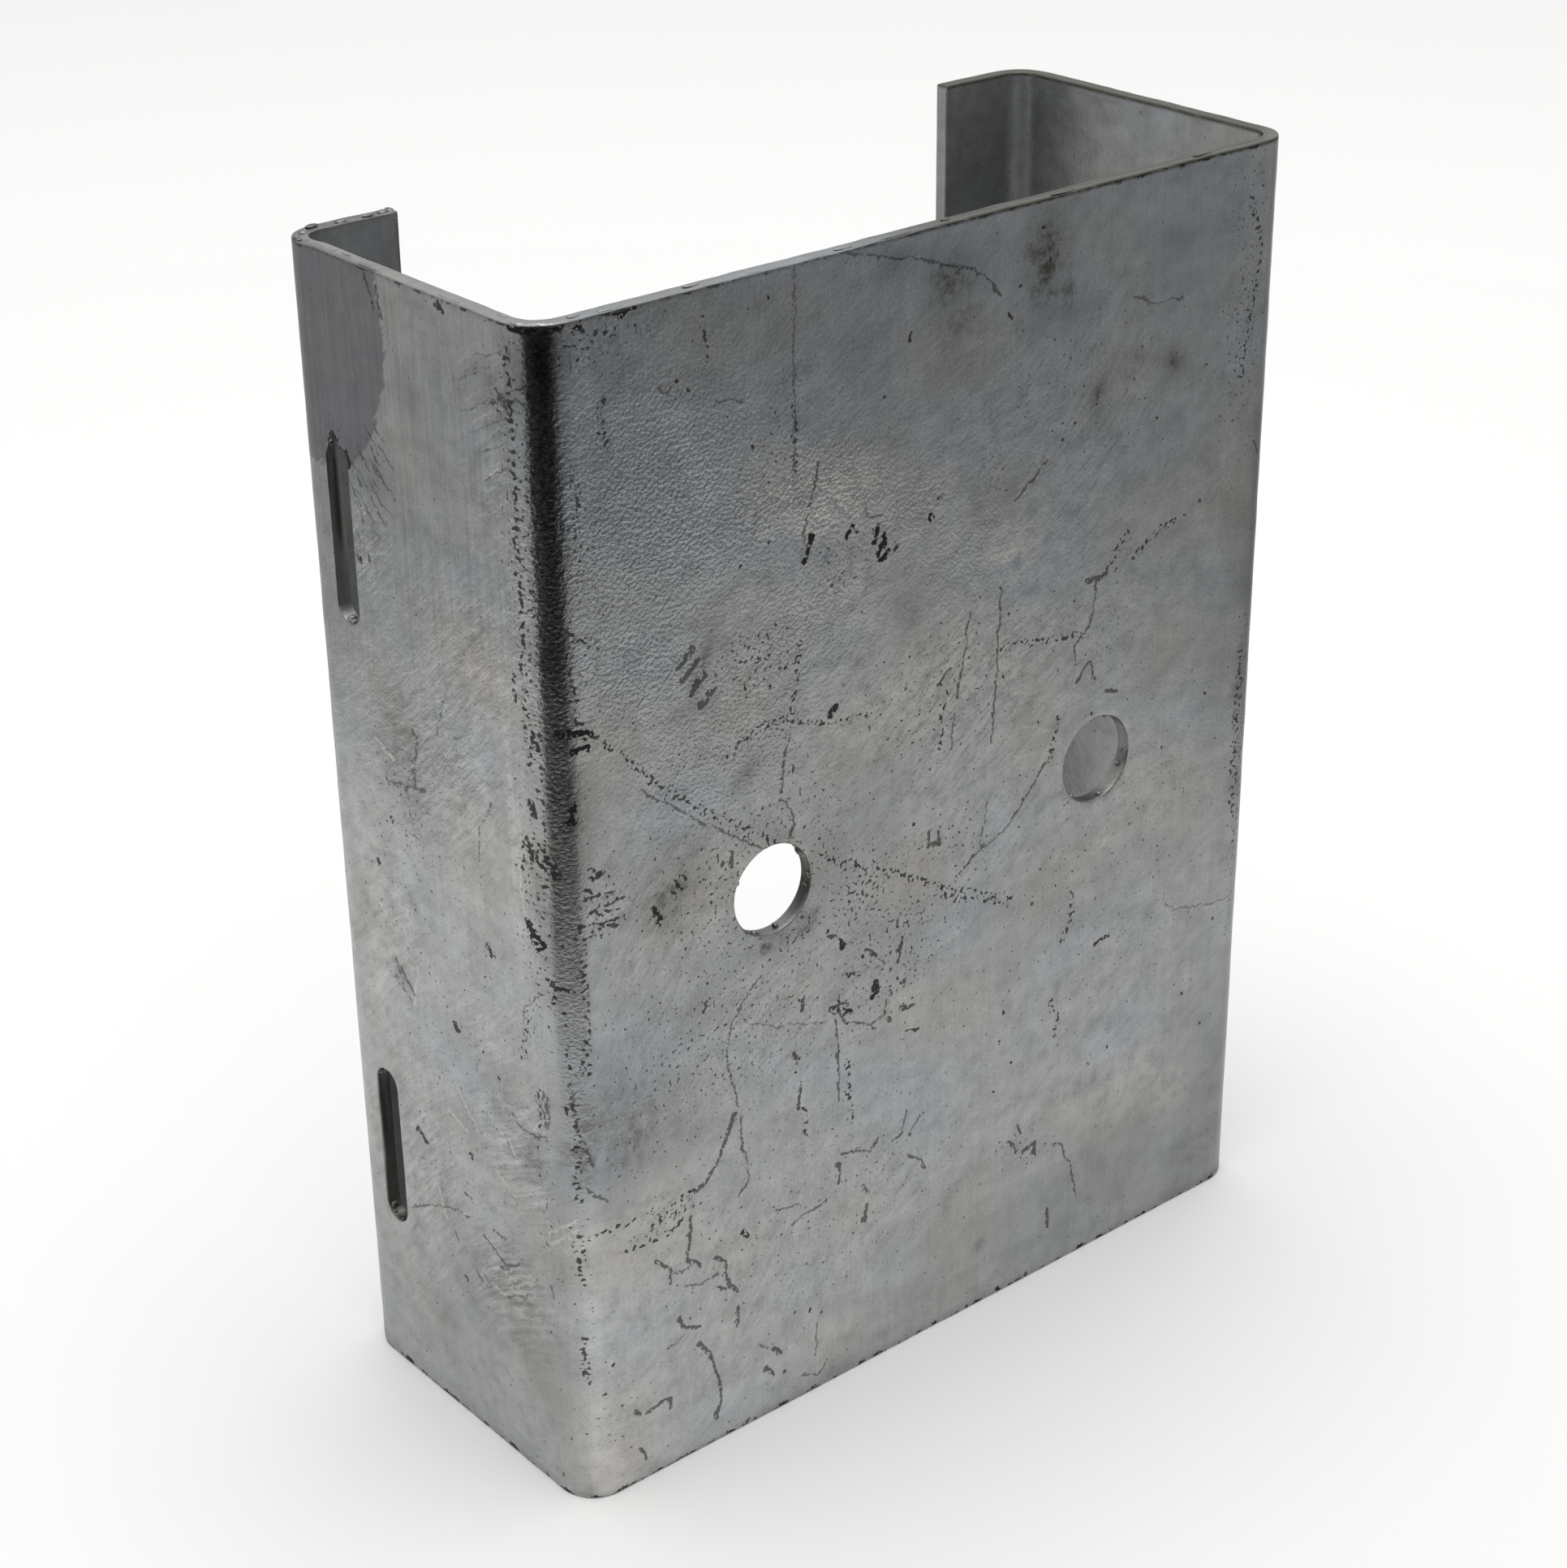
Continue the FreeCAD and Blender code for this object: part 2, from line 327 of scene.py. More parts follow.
def web(places):
    """Places on the web, from its left edge and the foot, as places on the blank."""
    return places - [WIDTH / 2, 0]


def flange(places):
    """Places on the left flange, from the web's face and the foot, as places on the blank."""
    return np.stack([-(FLANGE_START + places[:, 0] - BEND), places[:, 1]], axis=1)


def lip(places):
    """Places on the left lip, from the flange's face and the foot, as places on the blank."""
    return np.stack([-(LIP_START + places[:, 0] - BEND), places[:, 1]], axis=1)


# Beads and runs of zinc on the top edge, in millimetres: the place along the face, the depth
# into the sheet, and the half sizes along the edge, up and through the sheet.

BEADS = [
    (web, 2.6, 0.4, 1.2, 0.16, 0.5), (web, 6.9, 1.1, 0.8, 0.12, 0.4),
    (web, 11.3, 0.5, 1.6, 0.12, 0.4), (web, 23.0, 1.3, 1.1, 0.10, 0.5),
    (web, 31.5, 0.4, 2.2, 0.12, 0.3), (web, 44.6, 0.8, 1.3, 0.10, 0.5),
    (web, 52.0, 0.4, 2.6, 0.10, 0.3), (web, 61.0, 1.5, 0.7, 0.14, 0.4),
    (web, 79.0, 0.4, 2.0, 0.10, 0.3), (web, 104.0, 1.2, 1.6, 0.10, 0.5),
    (flange, 3.4, 0.4, 1.0, 0.17, 0.4), (flange, 6.4, 1.5, 0.7, 0.14, 0.4),
    (flange, 15.0, 0.5, 1.9, 0.10, 0.3), (flange, 30.5, 0.4, 2.4, 0.10, 0.3),
    (flange, 37.2, 1.5, 0.7, 0.18, 0.4), (flange, 46.4, 0.5, 0.9, 0.26, 0.5),
    (flange, 48.9, 1.2, 0.7, 0.30, 0.7), (flange, 51.2, 0.7, 0.8, 0.22, 0.5),
    (lip, 8.3, 1.3, 0.7, 0.26, 0.6), (lip, 12.0, 1.5, 0.9, 0.18, 0.4),
    (lip, 14.2, 1.2, 0.6, 0.30, 0.6), (lip, 15.3, 0.9, 0.5, 0.36, 0.8),
]

# How uneven a bead is, as a share of its half sizes, how many half sizes it may reach from its
# middle, and how many more beads lie round each hole and slot.

BEAD_UNEVEN = 0.16
BEAD_REACH = 1.17
RIM_BEADS = 9


def zinc_beads():
    """The listed beads, with their tops at the top edge, and more at random places round the
    holes and slots, 0.16 to 0.42 mm in half size and longer up and through the sheet. Each is a
    ball with its own half sizes and a slow unevenness. None reaches out of the sheet."""
    rows = []
    for face, place, n, *half in BEADS:
        s = face(np.array([[place, 0.0]]))[0, 0]
        rows.append([s, LENGTH - BEAD_REACH * half[1], n, *half])
    rng = np.random.default_rng(21)
    for centre_s, centre_z, radius, straight, _ in OPENINGS:
        for turn, depth, size in rng.random((RIM_BEADS, 3)):
            angle = 2 * math.pi * turn
            z = centre_z + math.copysign(straight, math.sin(angle)) + radius * math.sin(angle)
            half = 0.16 + 0.26 * size
            s = centre_s + (radius + 0.06) * math.cos(angle)
            rows.append([s, z, 0.45 + 1.3 * depth, half, 1.3 * half, 1.5 * half])
    rows = np.array(rows)
    reach = BEAD_REACH * rows[:, 5]
    rows[:, 2] = np.clip(rows[:, 2], reach, SHEET - reach)
    unit, quads = ball(4)
    uneven = 1 + BEAD_UNEVEN * np.sin(2.6 * unit[:, 0] + 1.0) * np.cos(3.3 * unit[:, 1] + 2.0)
    points = [row[:3] + unit * uneven[:, None] * row[3:] for row in rows]
    faces = [quads + len(unit) * i for i in range(len(rows))]
    return np.concatenate(points), np.concatenate(faces)


def galvanised_channel():
    """The channel, with the low swells of its dipped coat, which bend its reflections, an
    uneven line along its ends, and the beads on its edges, which make up the height that the
    sheet's top lies low by."""
    points, faces = channel_blank()
    s, z, n = points.T
    swell = 0.55 * waves(s, z, 3, 12.0, 60.0) + 0.30 * waves(s, z, 4, 3.0, 9.0)
    swell = 0.5 + 0.5 * np.tanh(swell)
    back_swell = 0.5 + 0.5 * np.tanh(waves(s, z, 5, 6.0, 50.0))
    share = n / SHEET
    depth = n + (1 - share) * SWELL * swell - share * SWELL * back_swell
    ripple = RIPPLE * np.tanh(waves(s, z, 6, 1.5, 9.0))
    ripple = ripple + RIPPLE * np.tanh(waves(s, z, 7, 9.0, 40.0))
    near_foot = np.clip(1 - z / RIPPLE_REACH, 0, 1)
    near_top = np.clip(1 - (LENGTH - z) / RIPPLE_REACH, 0, 1)
    on_left_lip = smoothstep(FLANGE_END - 4, FLANGE_END, -s)
    drop = TOP_DROP + 2 * RIPPLE + ripple + LIP_DROP * on_left_lip
    height = z + 0.5 * (2 * RIPPLE + ripple) * near_foot - drop * near_top
    bead_points, bead_faces = zinc_beads()
    shape = np.concatenate([folded(s, height, depth), folded(*bead_points.T)])
    faces = np.concatenate([faces, bead_faces + len(points)])
    piece = new_mesh("galvanised_channel", shape * MM, faces)
    return piece, np.concatenate([points, bead_points]), faces


# What the photo shows on the zinc. A path is a run of places in millimetres on one face, and a
# path of one place is a pit. Before the paths: the mark's width, how dark it is, and how much
# of it is missing, so that 0.5 reads as a row of dots. A darkness under 0 is a bright scratch.

MARKS = [
    (web, 0.3, 0.6, 0.05, """
        36.6,156 36.6,131; 25.2,142.6 29.2,141.7; 17.2,146 18.4,145 18.8,145.8;
        19.4,144 20.4,144.6; 47.2,124 47.7,122.7 50,122.5; 14.8,29.2 18.5,29.3;
        16.7,26.6 20,25.8 22.2,26.2; 16.3,19.4 13.7,18.4; 28.5,11.8 30.4,10.5;
        68,78.5 66.9,72.6; 38.5,10.6 38.3,5.5; 35.9,3.6 38.5,2.1 39.6,3.6; 62,92.6 61.6,87.8;
        12.7,98.2 20,92.2 26.7,87.2 32,83.5;
        30,66.9 28,64.9 25.7,62.2 24.4,58.8 24.6,55.1 25.9,51.4 26.1,49.5;
        91.6,140.6 93.2,140.2 94.6,139 97.2,138.6 98.4,139 100.4,138.6"""),
    (web, 0.26, 0.45, 0.1, """
        26.7,61.4 32.6,58.8 40.7,56.2; 102.4,51.2 104.2,49.4 108.3,48.7 110.5,48 115.5,47.6"""),
    (web, 0.36, 0.68, 0.04, """
        40.1,131.5 39.7,129.5 39.2,127.9 38.7,126.5; 38.5,125.4 38,124 37.8,121.9;
        43.7,155.9 50,154 56.7,152.4 60,151 64,149.8 66.8,147.8 68.8,145.6;
        35.2,98.2 34.3,95.2 33.8,90.9; 33.5,90 35.2,87.9 35.8,85.9 34.7,83.5;
        26.5,48.1 26.3,45.5 27,41.8 27.4,39.5 27.2,37.7 25.9,36.2;
        42.2,56.2 42.6,50.3 42.6,43.6; 41.1,57.7 43,56.2 44.1,54.7 46.7,53.6 48.9,51.9;
        48.1,52.9 50.4,53.2 50.9,55.5; 71.8,118.8 74,120.2 75.6,121.2 77.2,122.6;
        64.5,105.6 63.6,100.2 62.6,94.6; 69.8,107.6 69.5,100.2 69,92.2 68.5,86.6;
        86.8,103.8 86.2,100.2 85.6,97.8 83.2,95.8 83.2,93;
        79.6,82.1 76.9,78.9 73.7,75.3 71,73 67.4,72.1 62.8,69.2;
        43,35.3 45.9,34.7 47.8,33.6 49.3,35.1; 51.9,33.8 53.7,34 54.3,37.3;
        54.8,33.2 56.7,35.5; 31.9,31.4 35.6,30.6; 34.4,28.2 40.4,29.2;
        54.8,30.3 57,28.1 57.8,26.8; 46.7,28.8 47.8,27.3;
        81.9,20.3 83.7,19.6 84,17.6 85.3,15.5 85.8,13.5 86.7,9.4; 115.2,115.8 117,112.2"""),
    (web, 0.56, 0.72, 0.0, """
        25.6,48.8 23.7,45.1 21.9,42.1 20,40.3 18.9,39.9;
        18.1,36.6 17.8,33.6 17.4,31.4 17,30.6 19.3,28.8; 12.4,32.5 14.4,30.3 14.3,28.1;
        21.9,28.8 23.3,27.3 23.3,25.1 25.2,21.9; 21.9,24 23.3,23.2;
        15.6,22.3 16.7,20.3 18.9,19.5;
        18.9,16.9 20.4,14.4 21.5,10.6 22.2,7.7 21.9,5.5 21.1,3.6; 8.1,11.4 8.9,10.6;
        10,10.1 12.2,10.8 13.9,10.6 14,9.2; 8.9,5.1 9.7,3.2; 47.4,25.5 47,22.9;
        25.2,19.5 25,16.6; 84.8,104.4 88.4,104.2; 83.6,90.6 85.8,92.6 87,89.8;
        89.2,87.6 91.2,87; 73.3,24.2 74.6,22.1; 74.6,26.2 75.5,24.8;
        76,21.7 78.3,22.1 78.3,19.8; 81.2,9.8 81.2,6.7; 42.6,34 42.6,31;
        57.8,77.4 57.8,75.5 59.7,75.2 59.7,76.9; 59.2,97.6 61.2,99; 24.5,84.5 24.6,84.4;
        26,85.4 26,83.5"""),
    (web, 0.9, 0.85, 0.55, """
        36.6,139.5 36.6,131.5; 23.4,152.7 23.8,150.2 24,147.4; 9.7,146.2 9,143.5 10,140.9;
        5.2,140.2 5.7,136.2 5.5,129.9; 4,120.4 6.2,118.5 7.6,118;
        4.2,116.2 4,113.2 4.5,109.9 5,108.5; 37,109.5 36.5,105.9 35.7,102.2 35.5,100.2;
        25.3,97.9 27.7,99.5 31,100.7 33.7,100.4 35.3,100.2 37.7,98.9 40,98.2 43.3,97.4 48,96.9;
        6,107.5 11.7,101.9 16,97.2 19,94.9 23.3,91.2 26.7,88.9 30,86.5 33.3,83.9;
        40,79.9 46.7,76.5 53.3,72.9 60,68.9 64.2,66.7 72.8,62.3; 59.2,68 67.4,63.9 72.4,61.7;
        3.9,83.5 3.9,62.9; 2.4,60.3 2.4,45.5; 2.3,40.3 2.3,33.2; 2.2,25.1 2.2,18.1;
        112.4,149 114.8,142.4 113.8,136.5 112.4,130.2 112.2,125; 115,86 115,60;
        92,109 90,106.6 88,104.6; 60.7,97 60,93 59.6,88.2; 80.4,86.2 79.6,82.6 79,80.6;
        18.9,40.6 15.9,39.5 14.8,38.6 12.2,39.7 9.3,39.9 4.1,40.3;
        12.2,36.9 11.5,37.7 13.3,38.4 17,38.4 16.3,36.6 14.1,35.6 7.4,36.2;
        44.1,48.8 44.3,44 44.8,39.5; 83.5,59.4 84.6,57.1 82.4,52.6;
        80.5,43.9 81,42.1 82.1,40.7 81.5,38.2; 36.8,44.7 36.9,40.6;
        93.2,105.6 96,107 98.4,108.2 100.8,108.4;
        70.2,99.2 73.2,99.2 76,98.4 80.8,97.6 83.2,97.4"""),
    (web, 0.42, 0.88, 0.0, """
        41.2,58 44.2,57.4; 42.5,59.2 42.7,56.6; 42.9,57.4 44.9,55.8; 44.3,56.6 43.4,55.8;
        13.9,81 14.9,79.6; 14.6,80.9 15.2,80.2; 17.2,84.6 18.2,83.6; 18.4,84.9 19,84.3;
        16.8,83.4 17.3,83"""),
    (web, 0.85, 0.95, 0.0, """
        49,58.8 49.2,57.4; 44.2,56.4 44.6,56"""),
    (web, 0.55, 0.78, 0.0, """
        44.6,61.6 45.8,61.3; 47.1,64.2 49,62.8; 53.5,63.6 52.6,60.3; 36.9,61.3 36.6,59.4;
        35,53.6 36,52.6; 36.2,48.4 36,45.2; 53.7,57.3 53.6,56.4; 51.2,56.6 51.6,56;
        51.1,52.6 51.6,52.2; 53.2,53.4 55.5,52.9; 21.5,66.4 20.8,65.2; 41,68.4 42.2,68"""),
    (web, 0.5, 0.9, 0.1, """
        46,121.5; 49.3,121.4; 52,117.4 52.6,117.9; 41.5,120.2; 59,122.2; 54,143.4 54.5,144;
        50.3,137.2; 19.7,146.2; 21.3,144.9; 33,153; 30,152; 14.3,153.7; 7.3,154.7; 9,154.2;
        10.3,153.9; 6.5,151.5; 28.2,121.9; 32.5,123.7; 35.7,123.2; 30.3,136; 25.2,111.2;
        26.7,111.5; 29,112.5; 30.7,112.2; 32.2,111.5; 33.3,112.9; 34.5,113.7; 35,111.9;
        30.5,109.7; 32.2,109.4; 24.2,109.2; 28.5,106.2; 32.3,105.4; 34.7,107.2;
        5,89.2 6.5,89.3; 7.7,88.4; 1.9,71.9; 2,70.2; 2,66.2; 2.1,64.5; 14,80.8; 14.5,80;
        18.2,83.5; 76.9,148.4; 75.6,152.6; 93.4,133.6; 92.2,129.6; 96.6,123.6; 105.4,128.6;
        79.8,124.6; 81.8,126.4; 59.6,122.4; 35.7,93.1 35.7,93.8; 41,69.2; 21.7,68.9; 55.3,79.4;
        48.5,78; 44,61.9; 46.7,63.5; 102.6,108.8; 105.4,110; 90.2,104.5; 86.6,85; 70.4,95.2;
        79.2,96; 80,93.2; 71.2,103.6; 76.8,86.8; 64.6,79.2; 112.4,45.1; 112.8,29.2; 110.8,28.5;
        106.7,35.1; 105.1,36.9; 91.9,32.1; 88.3,31; 70.1,33.7; 71,41.2; 73.3,37.1; 71.7,45.7;
        94.6,66; 100.3,75.7; 108.3,81.4; 49.3,56.4; 42.6,57.1; 44.1,54.7; 35.4,50.8;
        54.1,49.3 56.3,49; 44.4,61.4; 55.2,54; 36.1,61; 88.7,49.8 91.2,50.3; 5.2,20.3; 4,16.2;
        32.6,12.9; 34.8,14; 37.4,13.4; 39.3,11.9; 32.8,5.6; 72,146.1; 70.1,143 70.7,142.4"""),
    (web, 1.1, 1.0, 0.2, """
        50.2,119.6 50.2,118.6; 57.7,120.2; 3.5,99 3.5,97; 4,105.7 5.4,105.8;
        3.2,108.3 5.4,107.6"""),
    (web, 0.7, 0.75, 0.0, """
        31.2,10 32.2,8.6; 29.8,7.6 30.8,5.8; 76.5,60.3"""),
    (flange, 0.7, 0.9, 0.5, """
        4.3,154 4.3,104; 6,115 6,111; 5.5,60 6,53; 3.2,94 3.2,88; 6.2,94 6.2,88; 3,76 3,72;
        7,70 7.4,67.4 8.5,65"""),
    (flange, 0.35, 0.6, 0.4, """
        1.8,150 1.8,110; 27,100.2 29,93.2 33,90.2; 34,61 37.5,62.7; 5,147.5 6.4,146.6"""),
    (flange, 0.5, 0.9, 0.1, """
        9,63; 35.5,85; 39.8,77.4; 36.8,119.4; 6,24.2; 5,2.7; 41,132.2; 38.5,131.7; 7,101;
        6.2,98; 13.5,75; 15.8,71.3; 28.4,66.2; 30.4,74.4; 17.3,60"""),
    (flange, 1.6, 1.0, 0.25, """
        5.7,82.6 4.2,80.6"""),
    (flange, 0.7, 1.0, 0.2, """
        0.8,155.1 3.8,155.6"""),
    (flange, 0.2, 0.5, 0.1, """
        13.4,143.6 5.4,147.8; 12,141.6 4.6,145.4; 14.6,146.8 7.4,150.4; 11,139.4 5.2,142.2;
        10.4,150.8 3,153.2; 9.6,137 4.8,139.4; 12.4,148.4 9.4,149.8"""),
    (flange, 0.24, -0.55, 0.08, """
        12.8,145.4 4.8,149.4; 11.4,143 5.4,146.2; 13.6,149.6 8.2,152; 15.6,150.4 14.2,140.2;
        13.2,137.4 12.4,128; 17.2,134 16,124.6; 19.8,128.4 18.4,117"""),
    (web, 0.7, 1.0, 0.2, """
        1,155.3 4.8,155.6; 6,154.8 7,155.4; 11.4,155.4 14.4,155.6"""),
    (flange, 0.9, 0.9, 0.25, """
        3.9,108 3.4,106.1; 4.3,99 4.1,97.4; 5.4,94.2 4.6,92; 4.4,93.4 3.4,91.2;
        2.6,92.2 1.9,90.1; 3,75.4 1.2,74.5; 14.6,76.1 14.3,75; 23,61.4 22.5,60.7;
        33.6,41.1 31.9,39.7; 34.3,85.8; 38.3,78.2; 14.1,58; 8.1,64.2; 24.7,22.4; 21.7,42.8;
        11.7,31.9; 16.8,155.3 15.9,154.7; 41.8,132.8 41.2,131.8"""),
    (flange, 0.4, 0.7, 0.1, """
        7.8,146.1 1.8,149.7; 6.5,147.1 3,147.2; 6.4,148.2 4.4,146; 7.4,147.2 5.6,145.4;
        5.7,59.5 4.7,55.3; 6.4,58.8 5.6,56; 29.1,154.4 28.3,150.8; 31.3,155.4 29.8,151.6"""),
    (flange, 0.26, 0.65, 0.03, """
        33.6,136.7 32,134.8; 31.7,137.4 29.6,135.3; 31,135.1 28.2,132.7; 33.7,135.1 31,132.3;
        33,132.7 29.9,129.8; 34.7,132.5 31.7,129.3; 31.1,131.3 28.4,128.9;
        37.3,131.3 35.2,128.7; 38,129.1 36.2,126.4; 36.4,128 33.3,124.8; 34.5,128.9 30.9,125.1;
        33.1,128.9 29,126.5; 32.3,127.1 30.5,125.2; 37.4,128.1 35.9,126.1; 34.9,126.2 34,125;
        32.8,123.5 32.2,122.9; 37.4,123 36.4,121.4; 32.9,136.1 31.1,133.8;
        35.6,133.8 33.5,131.2; 32,132.4 29.3,129.6; 35.9,130.6 33.4,127.6;
        33.6,130.3 31.2,127.6; 36.9,126.6 35.4,124.2"""),
    # Two dark blots at the top end of the upper slot: zinc drips, darkened with painted shadow.
    (flange, 1.1, 1.0, 0.0, """
        41.2,133.6 40.4,133.1; 38.3,132 37.9,130.9"""),
    (flange, 0.8, 0.75, 0.1, """
        37.3,119.3 36.9,119.2; 35.1,120 35,119.6"""),
    (flange, 0.36, 0.7, 0.0, """
        33.2,41.3 31.7,39.6; 23.8,36.2 22.2,36.1"""),
    (flange, 0.24, 0.75, 0.0, """
        36.9,27.2 34,29 31.2,30.3 28.3,31.7 25.5,32.5 22.8,32.9"""),
    (flange, 0.5, 0.5, 0.0, """
        26.9,28.7 26,28.1; 20.7,25.2 19.2,24; 22.9,25.4 21.1,24.1"""),
    (flange, 0.4, 0.6, 0.1, """
        5.9,57 5,60.1; 4.2,59.5 4.5,55.2; 11.6,53.8 10.5,52.7 7.1,52.9 4.7,53.4;
        17.6,33.6 15,33.6; 5.9,37.9 5.6,37.6; 5.5,31.6 5,29.9; 20,31.6 15,29.6;
        16.6,28.6 12,31.2; 15.4,24.4 9.8,27.8"""),
    (flange, 0.5, 0.55, 0.1, """
        28.1,99.8 27.2,98.3 28.3,95.4 28.4,91.9; 34.4,90.4 32.6,91.1; 30.6,91.1 26.2,92.5;
        36,65.2 34.6,62.2; 34.8,64.4 32.2,61.6; 36.2,62.6 33.2,60.2"""),
    (flange, 0.26, 0.6, 0.1, """
        4.1,74.1 7.7,70.3 7.9,68.4 6.7,66.9; 12,96 15,92 15.6,87; 20,108 23,101"""),
    (web, 0.8, 0.7, 0.0, """
        21,113.6 18.7,111.8; 21.6,112 19.4,110; 22.6,109.8 20.4,107.9; 24,107.6 21.9,105.9"""),
    (web, 0.7, 1.0, 0.0, """
        44.4,121.2 45.3,122.2; 49.2,121 48.8,119.2; 50.2,120 49.4,117.4; 49.6,116.8 51,117.6;
        39.2,122.5 38.3,120.9 37.8,119.7"""),
    (web, 0.4, 0.6, 0.3, """
        2.1,62.2 2.6,55.5 4,50.3; 3.4,47 5.5,44.5"""),
    (web, 0.44, 0.85, 0.25, """
        4.8,84.8 8,84; 5.2,83.2 9.2,82.6; 5.6,82.3 8.6,82.1; 4.4,86.6 6.2,86.8;
        4.6,88 5.2,87.3; 8.6,85.4 10.4,84.8; 4.4,81.5 6.4,81.3; 7,86.4 8.4,86.2; 5,90.4 7,89.2"""),
    (flange, 0.32, -0.8, 0.05, """
        7.9,101.6 6.6,83.5; 6.9,97 6.3,90; 36.2,150.5 35.3,141.5; 34.4,150 33.8,146"""),
    (flange, 0.45, -0.7, 0.05, """
        16.3,27.7 11.5,31.2; 15.7,26.9 9.7,31; 14.5,26.2 9.1,30.5; 18.5,24.9 15.3,24.4;
        10.2,55 7.3,53.6 5,54; 5.3,39.5 1.9,42.6; 5,38.2 1.6,41.2; 12.6,49.6 11.2,46.6;
        24,51.9 20.4,47.9; 30,34.2 28.4,29.9; 42.1,132 41.7,131.1; 22,46 26,47.4;
        12,41.5 16,43.1; 33,94 37,96; 31,66 32.4,60"""),
    (web, 0.4, -0.45, 0.3, """
        60,104 67,99.6; 63,107 71,102.4; 66,97 71,93.6; 72,88 79,85; 70,84 78,82;
        44,120 52,122.6; 7.7,152 7.7,146; 20,64 28,69; 60,60 66,62; 84,63 91,66"""),
    (web, 0.9, 0.95, 0.2, """
        2.7,108.4 6,107.4; 14,82 14.9,80.4; 43,67 43.6,66.2; 48.4,58.3 48.4,56.9;
        41.6,98.8 42.4,99.6; 26.4,30.6 27,29.8"""),
]


def mark_pieces():
    """Every straight piece of every mark: its two ends, half its width, how dark, how gappy."""
    rows = []
    for face, width, dark, gaps, text in MARKS:
        for path in text.split(";"):
            places = [[float(v) for v in place.split(",")] for place in path.split()]
            places = face(np.array(places))
            ends = zip(places, places[1:]) if len(places) > 1 else [(places[0], places[0])]
            rows += [[*start, *end, width / 2, dark, gaps] for start, end in ends]
    return np.array(rows)


# How many marks a face of the mesh can show, and how many batches the faces are searched in.

MARK_LAYERS = 2
BATCHES = 24


def write_marks(mesh, points, faces):
    """Each face takes its nearest marks, one to a layer. A corner holds where it lies from the
    middle of that mark, along it and across it, which stays exact between the corners, so that
    a line far thinner than the mesh comes out sharp."""
    marks = mark_pieces()
    start, end = marks[:, 0:2], marks[:, 2:4]
    run = end - start
    length = np.linalg.norm(run, axis=1)
    along = run / np.maximum(length, 1e-9)[:, None]
    along = np.where(length[:, None] > 0, along, [1.0, 0.0])
    across = np.stack([-along[:, 1], along[:, 0]], axis=1)
    middle = (start + end) / 2
    corners = points[faces]
    centre = corners.mean(axis=1)
    on_outside = centre[:, 2] < SHEET / 2
    nearest = np.zeros((len(faces), MARK_LAYERS), int)
    for batch in np.array_split(np.flatnonzero(on_outside), BATCHES):
        rel = centre[batch, None, :2] - middle
        a = np.abs((rel * along).sum(axis=2)) - length / 2
        gap = np.hypot(np.maximum(a, 0), (rel * across).sum(axis=2)) - marks[:, 4]
        nearest[batch] = np.argsort(gap, axis=1)[:, :MARK_LAYERS]
    for layer in range(MARK_LAYERS):
        chosen = nearest[:, layer]
        rel = corners[:, :, :2] - middle[chosen, None]
        a = (rel * along[chosen, None]).sum(axis=2)
        d = (rel * across[chosen, None]).sum(axis=2)
        dark = np.broadcast_to((marks[chosen, 5] * on_outside)[:, None], a.shape)
        size = np.stack([length[chosen] / 2, marks[chosen, 4], marks[chosen, 6]], axis=1)
        write(mesh, f"mark_{layer}", "CORNER", np.stack([a, d, dark], axis=2))
        write(mesh, f"mark_size_{layer}", "FACE", size)


def write(mesh, name, domain, values):
    """Stores three numbers for each point, face or corner."""
    attribute = mesh.attributes.new(name, "FLOAT_VECTOR", domain)
    attribute.data.foreach_set("vector", np.asarray(values, np.float32).ravel())
